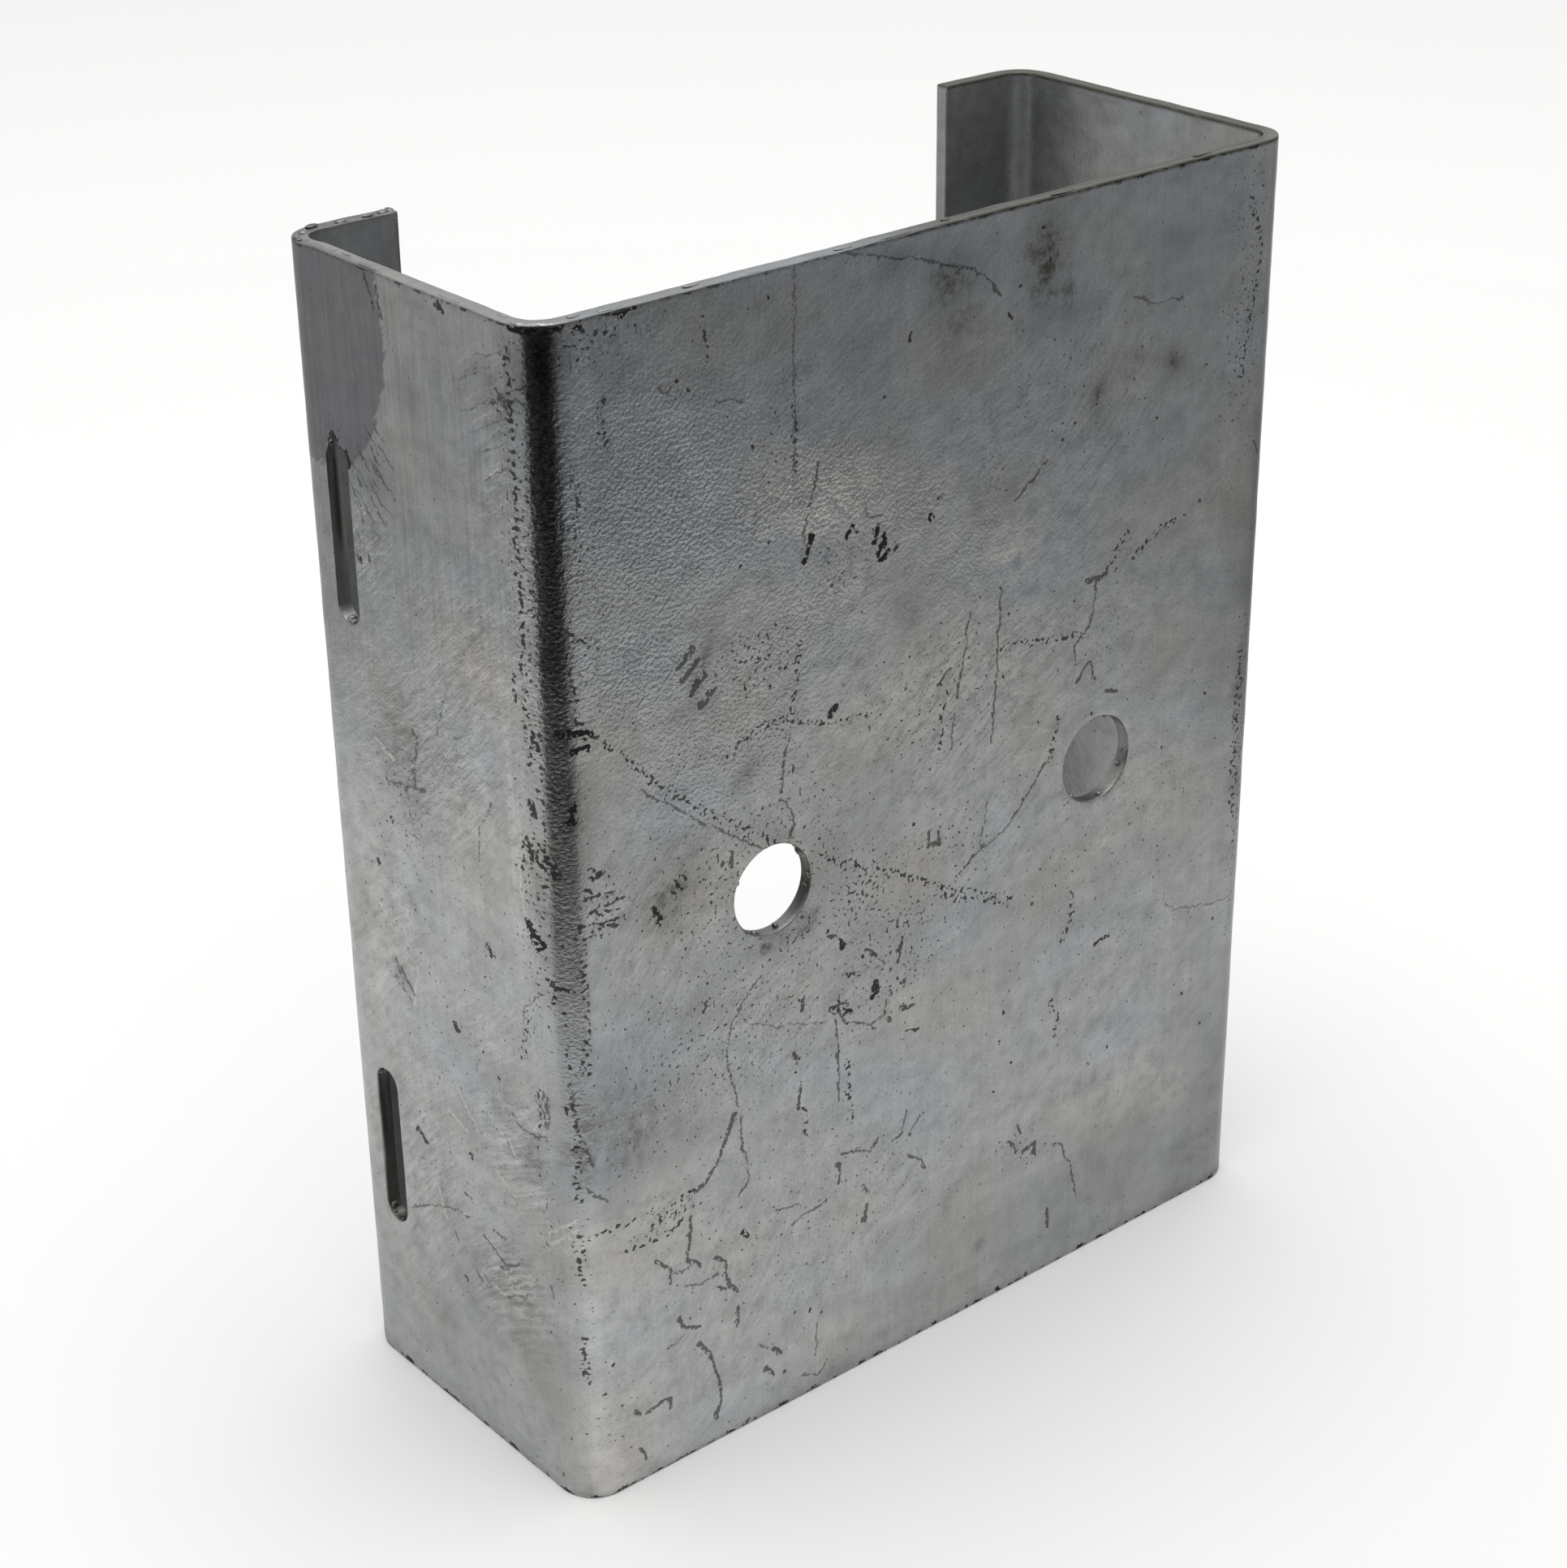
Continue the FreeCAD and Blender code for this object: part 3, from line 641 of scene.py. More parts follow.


# Soft patches of dirt, of pale zinc, of orange peel, of pits and of scuffs, face by face: the
# middle, the half sizes, the turn in degrees and the strength. Some broad pale patches on the web
# are painted light, brightening its reflection.

GRIME = {
    web: [
        (22, 111, 1.2, 4.5, -25, 0.9), (16.3, 82.5, 2.2, 2.6, 0, 1.0),
        (28.5, 95, 2.6, 1.6, 30, 0.9), (54.7, 108.5, 2.4, 3.4, 0, 0.7),
        (52, 153, 3, 2, 0, 0.5), (60.8, 149, 4, 3.5, 0, 1.0), (63, 143, 3, 2, 0, 0.5),
        (76.5, 148, 4, 6.5, 12, 1.15), (78, 143, 4, 3, 0, 0.4), (70.8, 120.6, 2, 2.6, 0, 0.6),
        (86, 128.6, 2, 2.6, 0, 0.9), (99.2, 130.6, 2, 2, 0, 0.9), (115, 82, 1.5, 6, 0, 0.8),
        (115.1, 65.3, 1.5, 2, 0, 0.7), (101, 88, 8, 1.2, 30, 0.35),
        (67.8, 9.4, 1.6, 1.2, 30, 0.7), (61.7, 19.5, 1.6, 2.5, 0, 0.6),
        (89.6, 8, 1.5, 1.2, 0, 0.6), (9, 53, 9, 11, 20, 0.72), (20, 66, 8, 5, 30, 0.3),
        (6, 47, 3, 8, 0, 0.5), (112, 20, 8, 16, 0, 0.3), (64, 14, 14, 7, 15, 0.25),
        (90, 12, 16, 8, 10, 0.35), (48, 138, 9, 14, 20, 0.15), (100, 145, 10, 10, 0, 0.15),
        (30, 148, 14, 7, 0, 0.15), (2, 152.5, 2.4, 5, 0, 1.0), (3.4, 53, 3, 9, -14, 0.85),
        (17, 84, 4.5, 5, -30, 0.8), (44, 80, 12, 7, 30, 0.35), (52, 66, 10, 7, 30, 0.3),
        (115, 98, 4, 18, 0, 0.35), (4.5, 98, 1.5, 8, 0, 0.6), (112, 8, 7, 6, 20, 0.5),
        (0.5, 86, 1.5, 12, 0, 0.7), (83, 60, 18, 8, 0, 0.2), (12, 134, 6, 8, 0, 0.3),
        (112, 84, 4, 10, 0, 0.35), (79.4, 144.6, 1.6, 4, 20, 1.1), (62, 144, 5, 7, 20, 0.6),
        (15.6, 82.6, 1.6, 2.2, -20, 1.0), (34, 84.6, 4, 1.6, -30, 0.5),
        (38, 71.8, 3, 1.3, 40, 1.0), (31.5, 70.8, 3.6, 1.3, 5, 1.0),
    ],
    flange: [
        (15, 56.7, 4, 3, 0, 0.4), (15.5, 74.4, 3, 3, 0, 0.3), (24, 59.7, 4, 3, 0, 0.3),
        (32, 97, 5, 7, 0, 0.6), (29, 90, 5, 4, 0, 0.5), (43, 70, 2, 6, 0, 0.3),
        (24, 142.2, 2, 3, 20, 0.4), (7, 147, 3, 3, 40, 0.6), (20, 24, 5, 2.5, -30, 0.5),
        (25, 21, 4, 2, -30, 0.5), (29, 31, 3, 2, 0, 0.4), (33.5, 39, 2, 2.5, 0, 0.5),
        (23, 47, 4, 2, -30, 0.4), (10, 20, 6, 6, 0, 0.4), (8, 33, 5, 6, 0, 0.35),
        (5, 147.3, 2.2, 1.8, 30, 0.8), (29, 97, 6, 5, 0, 0.6), (7.5, 49.6, 2.6, 3, -20, 0.8),
        (14.5, 53.5, 3, 1.6, -20, 0.7), (13.6, 29, 4, 1.8, 35, 0.8),
        (10, 25.6, 3, 1.5, 30, 0.6), (41.8, 71.5, 0.9, 2.6, 20, 0.7),
        (31, 75.3, 0.9, 2, 30, 0.6), (35.5, 64, 1, 2.2, 63, 0.7),
        (33.8, 62.4, 1, 2.2, 66, 0.6), (22, 49.2, 1, 3.2, 30, 0.7),
        (28.3, 32.2, 0.9, 2.8, 18, 0.75), (35, 21.6, 1, 2.2, 38, 0.5),
        (14.4, 33, 2, 0.9, 0, 0.7), (21, 44, 3, 2, 0, 0.3), (8, 14, 5, 4, 20, 0.35),
        (30, 12, 4, 5, 0, 0.3), (38, 46, 3, 5, 0, 0.3), (33, 131, 3.6, 4.4, 30, 0.5),
    ],
}
PALE_AND_LIT = {
    web: [
        (58, 124, 4, 3, 0, 0.5), (72, 112, 5, 4, 0, 0.8), (92.6, 99.6, 2, 2, 0, 0.7),
        (89.6, 65.3, 2, 2, 0, 0.7), (96, 25.7, 8, 5, 10, 0.5), (105, 20, 6, 4, 0, 0.5),
        (41, 128, 11, 4.5, -12, 0.8), (8, 30, 7, 10, 0, 0.35), (60, 85, 14, 8, 25, 0.25),
        (95, 72, 10, 8, 0, 0.3), (40, 124.6, 8, 3, -12, 0.9), (7.7, 150, 0.3, 3.5, 0, 0.8),
        # The first two patches on this line are painted light, brightening the web's reflection.
        (60, 98, 24, 8, 0, 0.5), (42, 116, 18, 6, 0, 0.4), (12, 40, 8, 6, 0, 0.5),
    ],
    flange: [
        (8.5, 98, 0.5, 16, 1, 0.9), (8, 98, 0.35, 8, 2, 0.8), (40, 80, 4, 14, 0, 0.35),
        (20, 40, 10, 6, -20, 0.3), (35, 30, 6, 10, 0, 0.3), (12, 10, 8, 6, 0, 0.35),
        (7.3, 93, 0.3, 9, 4, 1.0), (41, 62, 3, 10, 0, 0.4), (39.5, 122, 0.5, 7, 0, 0.7),
        (7, 30, 4, 8, 20, 0.4),
    ],
}
PEEL = {
    web: [
        (17, 130, 12, 12, 0, 1.0), (13, 113, 9, 9, 0, 0.8), (28, 128, 8, 8, 0, 0.7),
        (42, 127.5, 10, 5, -10, 1.0), (24, 100, 14, 10, 0, 0.6), (54, 122, 7, 5, 0, 0.5),
        (14, 142, 10, 6, 0, 0.45), (64, 114, 8, 6, 0, 0.3), (36, 112, 12, 8, 0, 0.4),
    ],
}
SPECKLE = {
    web: [
        (30, 109, 6, 5, 0, 0.9), (17, 96.4, 3, 2, -30, 0.9), (7, 85, 4, 4, 0, 1.0),
        (34, 99.8, 5, 1.8, 0, 0.9), (48, 95.5, 2, 1.5, 0, 0.8), (54, 66, 7, 4, -25, 0.9),
        (62, 74, 12, 6, -25, 0.5), (46, 80, 8, 5, 0, 0.4), (44, 117, 6, 5, 0, 0.6),
        (10, 152, 7, 3, 0, 0.5), (6, 125, 3, 18, 0, 0.6), (33, 134, 5, 9, 0, 0.5),
        (112, 135, 4, 22, 0, 0.6), (68, 123.4, 3, 3, 0, 0.7), (80, 130, 16, 12, 0, 0.3),
        (88, 97, 8, 8, 0, 0.45), (116, 70, 2, 26, 0, 0.8), (15, 38, 9, 3, 0, 0.6),
        (49, 33, 9, 4, 0, 0.5), (45, 52, 6, 6, 0, 0.4), (2.4, 40, 1.4, 30, 0, 0.4),
        (6, 12, 4, 8, 0, 0.4), (76, 22, 6, 5, 0, 0.5), (30, 80, 20, 18, 0, 0.68),
        (24, 60, 22, 14, 0, 0.6), (60, 96, 16, 12, 0, 0.5), (52, 62, 12, 10, 0, 0.7),
        (8, 54, 8, 10, 15, 0.4), (47, 73, 7, 7, 0, 1.0), (36, 70.4, 4, 2.4, 20, 1.0),
        (8, 153, 8, 2.4, 0, 0.9), (40, 30, 30, 20, 0, 0.35), (90, 60, 24, 30, 0, 0.3),
        (1, 110, 2, 40, 0, 0.9),
    ],
    flange: [
        (5, 92, 2.5, 4, 0, 1.0), (30, 86, 6, 8, 0, 0.6), (24, 60, 18, 40, 0, 0.35),
        (4, 130, 2.5, 26, 0, 0.9), (5, 85, 3, 20, 0, 0.8), (6, 45, 3, 20, 0, 0.5),
        (15, 70, 9, 16, 0, 0.3), (40, 132, 3, 3, 0, 0.9), (34, 92, 7, 8, 0, 0.5),
    ],
}
SCUFF = {
    web: [
        (26, 22, 18, 16, 30, 0.9), (52, 24, 16, 10, 20, 0.7), (14, 44, 12, 12, 0, 0.6),
        (62, 92, 22, 16, 20, 0.7), (34, 60, 14, 12, 0, 1.0), (84, 124, 22, 18, 35, 0.5),
        (92, 40, 22, 20, 0, 0.5), (40, 104, 14, 8, 20, 0.4), (14, 76, 10, 14, 0, 1.0),
        (0.5, 120, 3, 40, 0, 0.7), (2, 60, 4, 26, 0, 0.8), (74, 70, 20, 16, 0, 0.5),
    ],
    flange: [
        (22, 96, 14, 12, 0, 0.9), (14, 64, 10, 14, 0, 0.6), (34, 34, 12, 16, 0, 1.1),
        (14, 27, 10, 8, 0, 1.9), (38, 66, 8, 16, 0, 0.8), (6, 140, 6, 10, 0, 0.8),
        (10, 50, 9, 9, 0, 1.7), (14, 112, 12, 10, 0, 0.6), (36, 122, 6, 6, 0, 0.8),
    ],
}


def patches(s, z, lists):
    """The strongest of the soft patches at each place: each falls off as a bell from its middle,
    over its own half sizes."""
    total = np.zeros_like(s)
    for face, rows in lists.items():
        for x, height, wide, tall, turn, strength in rows:
            middle = face(np.array([[x, height]]))[0]
            angle = math.radians(turn)
            ds, dz = s - middle[0], z - middle[1]
            u = (ds * math.cos(angle) + dz * math.sin(angle)) / wide
            v = (dz * math.cos(angle) - ds * math.sin(angle)) / tall
            total = np.maximum(total, strength * np.exp(-(u * u + v * v)))
    return total


def bell(value, middle, half):
    """1 at the middle, and less by exp(-(distance / half)^2) to both sides."""
    return np.exp(-(((value - middle) / half) ** 2))


def smoothstep(low_end, high_end, value):
    """0 at the first end, 1 at the second, and 3 t^2 - 2 t^3 between them, t being the share of
    the way. The first end may be the higher one."""
    t = np.clip((value - low_end) / (high_end - low_end), 0, 1)
    return t * t * (3 - 2 * t)


def opening_distance(s, z):
    """How far each place on the blank lies from the nearest hole or slot."""
    gaps = []
    for centre_s, centre_z, radius, straight, _ in OPENINGS:
        past = np.maximum(np.abs(z - centre_z) - straight, 0)
        gaps.append(np.hypot(s - centre_s, past) - radius)
    return np.min(gaps, axis=0)


# How far the patterns slide along the blank from one skin to the other, for each millimetre of
# depth, so that the two skins differ. The way that the rubbing ran, up from the blank's s, and
# the scale of places along it, which draws its streaks out to about nine times their width.

SKIN_SHIFT = 7
SCUFF_ANGLE = math.radians(38)
SCUFF_STRETCH = 0.11

# The slanting border of the burnished corner: heights on the left flange, and how far from the
# web's face the border lies there.

BORDER_Z = (128, 131, 135.5, 142, 147, 156)
BORDER_Y = (50, 36.5, 32.2, 29.2, 28.4, 29.3)


def burnished_corner(s, z):
    """1 in the burnished upper corner of the left flange, past its border, and 0 elsewhere."""
    flange_y = -s - FLANGE_START + BEND
    past = flange_y - np.interp(z, BORDER_Z, BORDER_Y)
    return smoothstep(-1.2, 1.2, past) * smoothstep(127, 131, z)


def web_share(s):
    """1 on the web and 0 on the flanges, turning softly across the folds."""
    return smoothstep(FLANGE_START + 4, HALF_WEB - 2, np.abs(s))


def write_finish(mesh, points):
    """Everything on the skins that is broader than the mesh's own step: clouds and mottle as
    sums of waves, the soft patches, the burnished corner, and the way that the rubbing ran. The
    inner skin is plainer and duller, and the front folds are the most polished."""
    s, z, n = points.T
    outside = 1 - np.clip(n / SHEET, 0, 1)
    on_web = web_share(s)
    burnished = burnished_corner(s, z)
    fold = smoothstep(HALF_WEB - 1, HALF_WEB + 2, np.abs(s))
    fold = fold * smoothstep(FLANGE_START + 1, FLANGE_START - 2, np.abs(s))
    cold_top = smoothstep(102, 140, z) * on_web
    cloud = np.clip(0.42 * waves(s, z, 11, 16.0, 80.0, 30) - 0.75 * cold_top + 0.15, -1, 1)
    mottle = waves(s, z, 12, 2.4, 14.0, 60)
    bend = 3.0 * waves(s, z, 13, 50.0, 140.0)
    along = s * math.cos(SCUFF_ANGLE) + z * math.sin(SCUFF_ANGLE)
    across = z * math.cos(SCUFF_ANGLE) - s * math.sin(SCUFF_ANGLE) + bend
    kinds = (GRIME, PALE_AND_LIT, SPECKLE, PEEL, SCUFF)
    grime, pale, speckle, peel, scuff = [patches(s, z, lists) * outside for lists in kinds]
    brushed = 0.25 + 0.45 * (1 - on_web) * smoothstep(95, 125, z) + 0.5 * burnished
    brushed *= 0.3 + 0.7 * outside
    scuffed = (0.12 + scuff * (1 - 0.5 * on_web)) * (1 - 0.95 * fold)
    grainy = 0.08 + outside * (0.16 + 0.6 * speckle + 0.3 * peel)
    polish = fold - 0.8 * (1 - outside)
    # A flat noise leaves out the third number of its place, which says how grainy the zinc is.
    write(mesh, "sheet", "POINT", np.stack([s + SKIN_SHIFT * n, z, grainy], axis=1))
    write(mesh, "stains", "POINT", np.stack([grime, pale, speckle], axis=1))
    write(mesh, "finish", "POINT", np.stack([peel, burnished * outside, polish], axis=1))
    write(mesh, "tone", "POINT", np.stack([cloud, mottle, brushed], axis=1))
    write(mesh, "scuff", "POINT", np.stack([SCUFF_STRETCH * along, across, scuffed], axis=1))


def write_edges(mesh, points):
    """What follows the cut edges: how far the nearer end is, how dark the line along it is, which
    along the foot is painted shade, and how dirty the cut face along the top is. On the walls of
    the holes and slots, there is painted shade and painted highlights, with dark and light streaks."""
    s, z, n = points.T
    outside = 1 - np.clip(n / SHEET, 0, 1)
    near_fold = smoothstep(40, 6, np.abs(np.abs(s) - (HALF_WEB + FOLD_RUN / 2)))
    top = smoothstep(LENGTH / 2, LENGTH, z)
    # The dark line runs down to the foot's edge, where it is painted shade, and at the top it
    # starts below the rounding.
    ends = np.minimum(z + 0.2, LENGTH - z)
    end_dirt_and_shade = 0.75 + 0.15 * near_fold + 0.08 * web_share(s) * smoothstep(-10, 20, s)
    end_dirt_and_shade = (end_dirt_and_shade * top + 1.1 * (1 - top)) * outside
    cut = 0.25 + 1.1 * smoothstep(-20, 10, s) + 0.45 * smoothstep(FLANGE_END - 3, LIP_START, -s)
    cut *= smoothstep(LENGTH - 0.6, LENGTH - 0.2, z)
    write(mesh, "ends", "POINT", np.stack([ends, end_dirt_and_shade, cut], axis=1))

    # Painted shade on the walls of the holes and slots, deepest in a painted shadow near the top of
    # the upper slot, and painted highlights: a light streak on the upper slot's wall and a broad
    # one on the lower slot's wall. The sine streaks only vary it.
    wall = smoothstep(0.22, 0.05, opening_distance(s, z))
    upper = smoothstep(100, 110, z) * (s < 0)
    lower = smoothstep(60, 50, z) * (s < 0)
    painted_dark = bell(n, 1.15, 0.35) * smoothstep(116, 122, z) * smoothstep(132, 129, z) * upper
    light = bell(n, 1.8, 0.25) * smoothstep(113, 120, z) * upper
    light = light + 0.7 * bell(n, 1.2, 0.6) * smoothstep(42.5, 45.5, z) * lower
    streak = 0.12 * np.sin(4.5 * n + 0.3 * z) + 0.08 * np.sin(9.0 * n - 0.5 * z + 1)
    dirt = 0.55 - 0.1 * upper + 0.25 * lower + streak + 1.2 * painted_dark
    write(mesh, "walls", "POINT", np.stack([wall * dirt, wall * light, 0 * wall], axis=1))


def node(tree, kind, inputs=None, **settings):
    """Adds a node with its settings, links or sets its inputs, and gives back its first output."""
    new = tree.nodes.new("ShaderNode" + kind)
    for key, value in settings.items():
        setattr(new, key, value)
    for key, value in (inputs or {}).items():
        socket = new.inputs[key]
        if isinstance(value, bpy.types.NodeSocket):
            tree.links.new(value, socket)
        else:
            socket.default_value = value
    return new.outputs[0] if new.outputs else None


def stored(tree, name):
    """The vector that the mesh holds under a name, and its three numbers."""
    vector = node(tree, "Attribute", attribute_name=name).node.outputs["Vector"]
    return vector, *node(tree, "SeparateXYZ", {0: vector}).node.outputs


def plain_material(name, colour, roughness):
    """A material of one colour and one roughness."""
    material = bpy.data.materials.new(name)
    material.use_nodes = True
    shader = material.node_tree.nodes["Principled BSDF"]
    shader.inputs["Base Color"].default_value = linear(colour)
    shader.inputs["Roughness"].default_value = roughness
    return material


# The width over which the side of a mark fades, in millimetres, most of it inside the mark.

MARK_BLUR = 0.13


def mark_mask(tree, layer, wander, ragged, breaks):
    """One layer of marks: dark within half the mark's width of its middle line, which wanders a
    little, with a ragged side and, where the mark is gappy, breaks along it."""
    _, a, d, dark = stored(tree, f"mark_{layer}")
    _, half_length, half_width, gaps = stored(tree, f"mark_size_{layer}")
    past = node(tree, "Math", {0: a}, operation="ABSOLUTE")
    past = node(tree, "Math", {0: past, 1: half_length}, operation="SUBTRACT")
    past = node(tree, "Math", {0: past, 1: 0.0}, operation="MAXIMUM")
    side = node(tree, "Math", {0: d, 1: wander}, operation="ADD")
    off = node(tree, "CombineXYZ", {0: past, 1: side})
    off = node(tree, "VectorMath", {0: off}, operation="LENGTH").node.outputs["Value"]
    full = node(tree, "Math", {0: gaps, 1: 0.12}, operation="ADD")
    kept = node(tree, "MapRange", {"Value": breaks, "From Min": gaps, "From Max": full})
    reach = node(tree, "Math", {0: kept, 1: ragged}, operation="MULTIPLY")
    reach = node(tree, "Math", {0: half_width, 1: reach}, operation="MULTIPLY")
    inside = node(tree, "Math", {0: reach, 1: off}, operation="SUBTRACT")
    blur = {"Value": inside, "From Min": -0.3 * MARK_BLUR, "From Max": 0.7 * MARK_BLUR}
    inside = node(tree, "MapRange", blur)
    strength = node(tree, "Math", {0: dark, 1: kept}, operation="MULTIPLY")
    return node(tree, "Math", {0: inside, 1: strength}, operation="MULTIPLY")


def zinc_noises(tree):
    """Flat noises on the blank and along the rubbing. Their scales are in cells to the
    millimetre: grain and lumps of about 0.45 mm, flecks, brushed lines and rubs of 0.6 to
    0.8 mm, and creases and patches of about 2 mm. The real grain is nearer 0.1 mm, too fine to
    show, so it is drawn as coarse as it needs to be."""
    sheet = stored(tree, "sheet")[0]
    rubbed = stored(tree, "scuff")[0]
    stretched = node(tree, "VectorMath", {0: sheet, 1: (1.0, 0.03, 0.0)}, operation="MULTIPLY")
    shorter = node(tree, "VectorMath", {0: rubbed, 1: (4.0, 1.0, 0.0)}, operation="MULTIPLY")
    sizes = {
        "grain": (sheet, 2.3, 1.0, 0.6),
        "lumps": (sheet, 2.0, 1.0, 0.5),
        "flecks": (sheet, 1.7, 1.0, 0.4),
        "brush": (stretched, 1.5, 1.0, 0.7),
        "rubs": (rubbed, 1.3, 2.0, 0.7),
        "creases": (shorter, 0.55, 3.0, 0.6),
        "patches": (sheet, 0.45, 3.0, 0.75),
    }
    noises = {}
    for name, (place, scale, detail, roughness) in sizes.items():
        inputs = {"Vector": place, "Scale": scale, "Detail": detail, "Roughness": roughness}
        noises[name] = node(tree, "TexNoise", inputs, noise_dimensions="2D")
    sharper = {"Value": noises["creases"], "From Min": 0.38, "From Max": 0.62}
    noises["creases"] = node(tree, "MapRange", sharper)
    return noises


def zinc_marks(tree, noises):
    """What the dark marks cover, and what the bright scratches do. The dark ones are: the listed
    marks, some with painted shadows; pits where the flecks are strongest; a ragged line along both
    ends, which along the foot is painted shade; and the blackest part of a slot's wall, a painted
    shadow. Each is joined to the others by whichever is the darkest."""
    patchy, flecks = noises["patches"], noises["flecks"]
    edges = {"Value": patchy, "From Min": 0.35, "From Max": 0.65, "To Min": 0.65, "To Max": 1.45}
    ragged = node(tree, "MapRange", edges)
    breaks = node(tree, "MapRange", {"Value": flecks, "From Min": 0.25, "From Max": 0.75})
    wander = node(tree, "Math", {0: patchy, 1: 1.7, 2: -0.85}, operation="MULTIPLY_ADD")
    marks = 0.0
    scratches = 0.0
    for layer in range(MARK_LAYERS):
        mask = mark_mask(tree, layer, wander, ragged, breaks)
        marks = node(tree, "Math", {0: marks, 1: mask}, operation="MAXIMUM")
        scratches = node(tree, "Math", {0: scratches, 1: mask}, operation="MINIMUM")
    scratches = node(tree, "Math", {0: scratches, 1: -1.0}, operation="MULTIPLY", use_clamp=True)

    speckle = stored(tree, "stains")[3]
    pit_start = node(tree, "MapRange", {"Value": speckle, "To Min": 0.79, "To Max": 0.585})
    pit_end = node(tree, "Math", {0: pit_start, 1: 0.07}, operation="ADD")
    pits = {"Value": flecks, "From Min": pit_start, "From Max": pit_end, "To Max": 0.8}
    pits = node(tree, "MapRange", pits)

    # Along the foot this ragged dark line is painted shade.
    _, ends, end_dirt_and_shade, _ = stored(tree, "ends")
    ragged_end = node(tree, "Math", {0: patchy, 1: -3.6, 2: 1.3}, operation="MULTIPLY_ADD")
    ragged_end = node(tree, "Math", {0: ragged_end, 1: end_dirt_and_shade, 2: ends}, operation="MULTIPLY_ADD")
    end_line = node(tree, "MapRange", {"Value": ragged_end, "From Min": 0.0, "From Max": -0.45})
    above_cut = node(tree, "MapRange", {"Value": ends, "From Min": 0.12, "From Max": 0.26})
    end_line = node(tree, "Math", {0: end_line, 1: above_cut}, operation="MULTIPLY")
    end_line = node(tree, "Math", {0: end_line, 1: end_dirt_and_shade}, operation="MULTIPLY", use_clamp=True)

    # Where the painted shade on a wall passes full strength, it becomes a painted shadow as dark as
    # a mark.
    wall_shade = stored(tree, "walls")[1]
    painted_wall_shadow = node(tree, "Math", {0: wall_shade, 1: 1.0}, operation="SUBTRACT")
    for more in (pits, end_line, painted_wall_shadow):
        marks = node(tree, "Math", {0: marks, 1: more}, operation="MAXIMUM")
    return marks, scratches


def zinc_layers(tree, noises, scratches):
    """What lies on the zinc under the marks: dirt, with the painted shade on the walls of the holes
    and slots; pale zinc, with the painted highlights on the slots' walls and the painted light of
    some broad patches on the web; and burnished streaks, each as the share of a place that it
    covers."""
    patchy = noises["patches"]
    _, grime, pale, _ = stored(tree, "stains")
    _, wall_shade, wall_highlight, _ = stored(tree, "walls")
    cut = stored(tree, "ends")[3]
    burnished = stored(tree, "finish")[2]

    blotches = {"Value": patchy, "From Min": 0.40, "From Max": 0.66, "To Min": 0.3}
    dirt = node(tree, "Math", {0: node(tree, "MapRange", blotches), 1: grime}, operation="MULTIPLY")
    # The painted shade on the walls goes in with the dirt.
    dirt = node(tree, "Math", {0: dirt, 1: wall_shade}, operation="MAXIMUM")
    cut_dirt = {"Value": patchy, "From Min": 0.2, "From Max": 0.6, "To Min": 0.4}
    cut_dirt = node(tree, "MapRange", cut_dirt)
    cut_dirt = node(tree, "Math", {0: cut_dirt, 1: cut}, operation="MULTIPLY")
    dirt = node(tree, "Math", {0: dirt, 1: cut_dirt}, operation="MAXIMUM", use_clamp=True)

    bare = node(tree, "MapRange", {"Value": patchy, "From Min": 0.35, "From Max": 0.6})
    bare = node(tree, "Math", {0: bare, 1: pale}, operation="MULTIPLY")
    # The painted highlights on the slots' walls go in with the pale zinc and the bright scratches.
    for more in (scratches, wall_highlight):
        bare = node(tree, "Math", {0: bare, 1: more}, operation="MAXIMUM")

    rubbed = {0: noises["rubs"], 1: 1.4, 2: burnished}
    rubbed = node(tree, "Math", rubbed, operation="MULTIPLY_ADD")
    streaks = {"Value": rubbed, "From Min": 1.05, "From Max": 1.35, "To Max": 0.66}
    return dirt, bare, node(tree, "MapRange", streaks)


def zinc_colour(tree, noises, marks, scratches):
    """Zinc between a faintly blue and a faintly warm grey, shaded by the mottle and the noises,
    each about its middle, and then the layers and the marks over it, one after another."""
    _, cloud, mottle, brushed = stored(tree, "tone")
    grainy = stored(tree, "sheet")[3]
    scuffed = stored(tree, "scuff")[3]
    warmth = node(tree, "MapRange", {"Value": cloud, "From Min": -1.0, "From Max": 1.0})
    tints = {0: warmth, 6: linear("#9da2a7"), 7: linear("#a7a5a1")}
    colour = node(tree, "Mix", tints, data_type="RGBA").node.outputs[2]
    shade = node(tree, "Math", {0: mottle, 1: 0.07, 2: 0.97}, operation="MULTIPLY_ADD")
    patterns = {
        "grain": (grainy, 0.9),
        "brush": (brushed, 0.5),
        "rubs": (scuffed, 0.7),
        "creases": (scuffed, 0.15),
        "patches": (1.0, 0.4),
    }
    for name, (share, strength) in patterns.items():
        centred = node(tree, "Math", {0: noises[name], 1: 0.5}, operation="SUBTRACT")
        centred = node(tree, "Math", {0: centred, 1: share}, operation="MULTIPLY")
        shade = node(tree, "Math", {0: centred, 1: strength, 2: shade}, operation="MULTIPLY_ADD")
    colour = node(tree, "VectorMath", {0: colour, "Scale": shade}, operation="SCALE")
    dirt, bare, streaks = zinc_layers(tree, noises, scratches)
    # The dirt colour also paints shade on the walls of the holes and slots. The pale colour also
    # paints highlights there and painted light on the web. The mark colour also paints the shade
    # along the foot and the walls' darkest shadow.
    layers = ((dirt, "#54534d"), (bare, "#bdbab3"), (streaks, "#64646a"), (marks, "#302f2e"))
    for share, over in layers:
        both = {0: share, 6: colour, 7: linear(over)}
        colour = node(tree, "Mix", both, data_type="RGBA").node.outputs[2]
    return colour


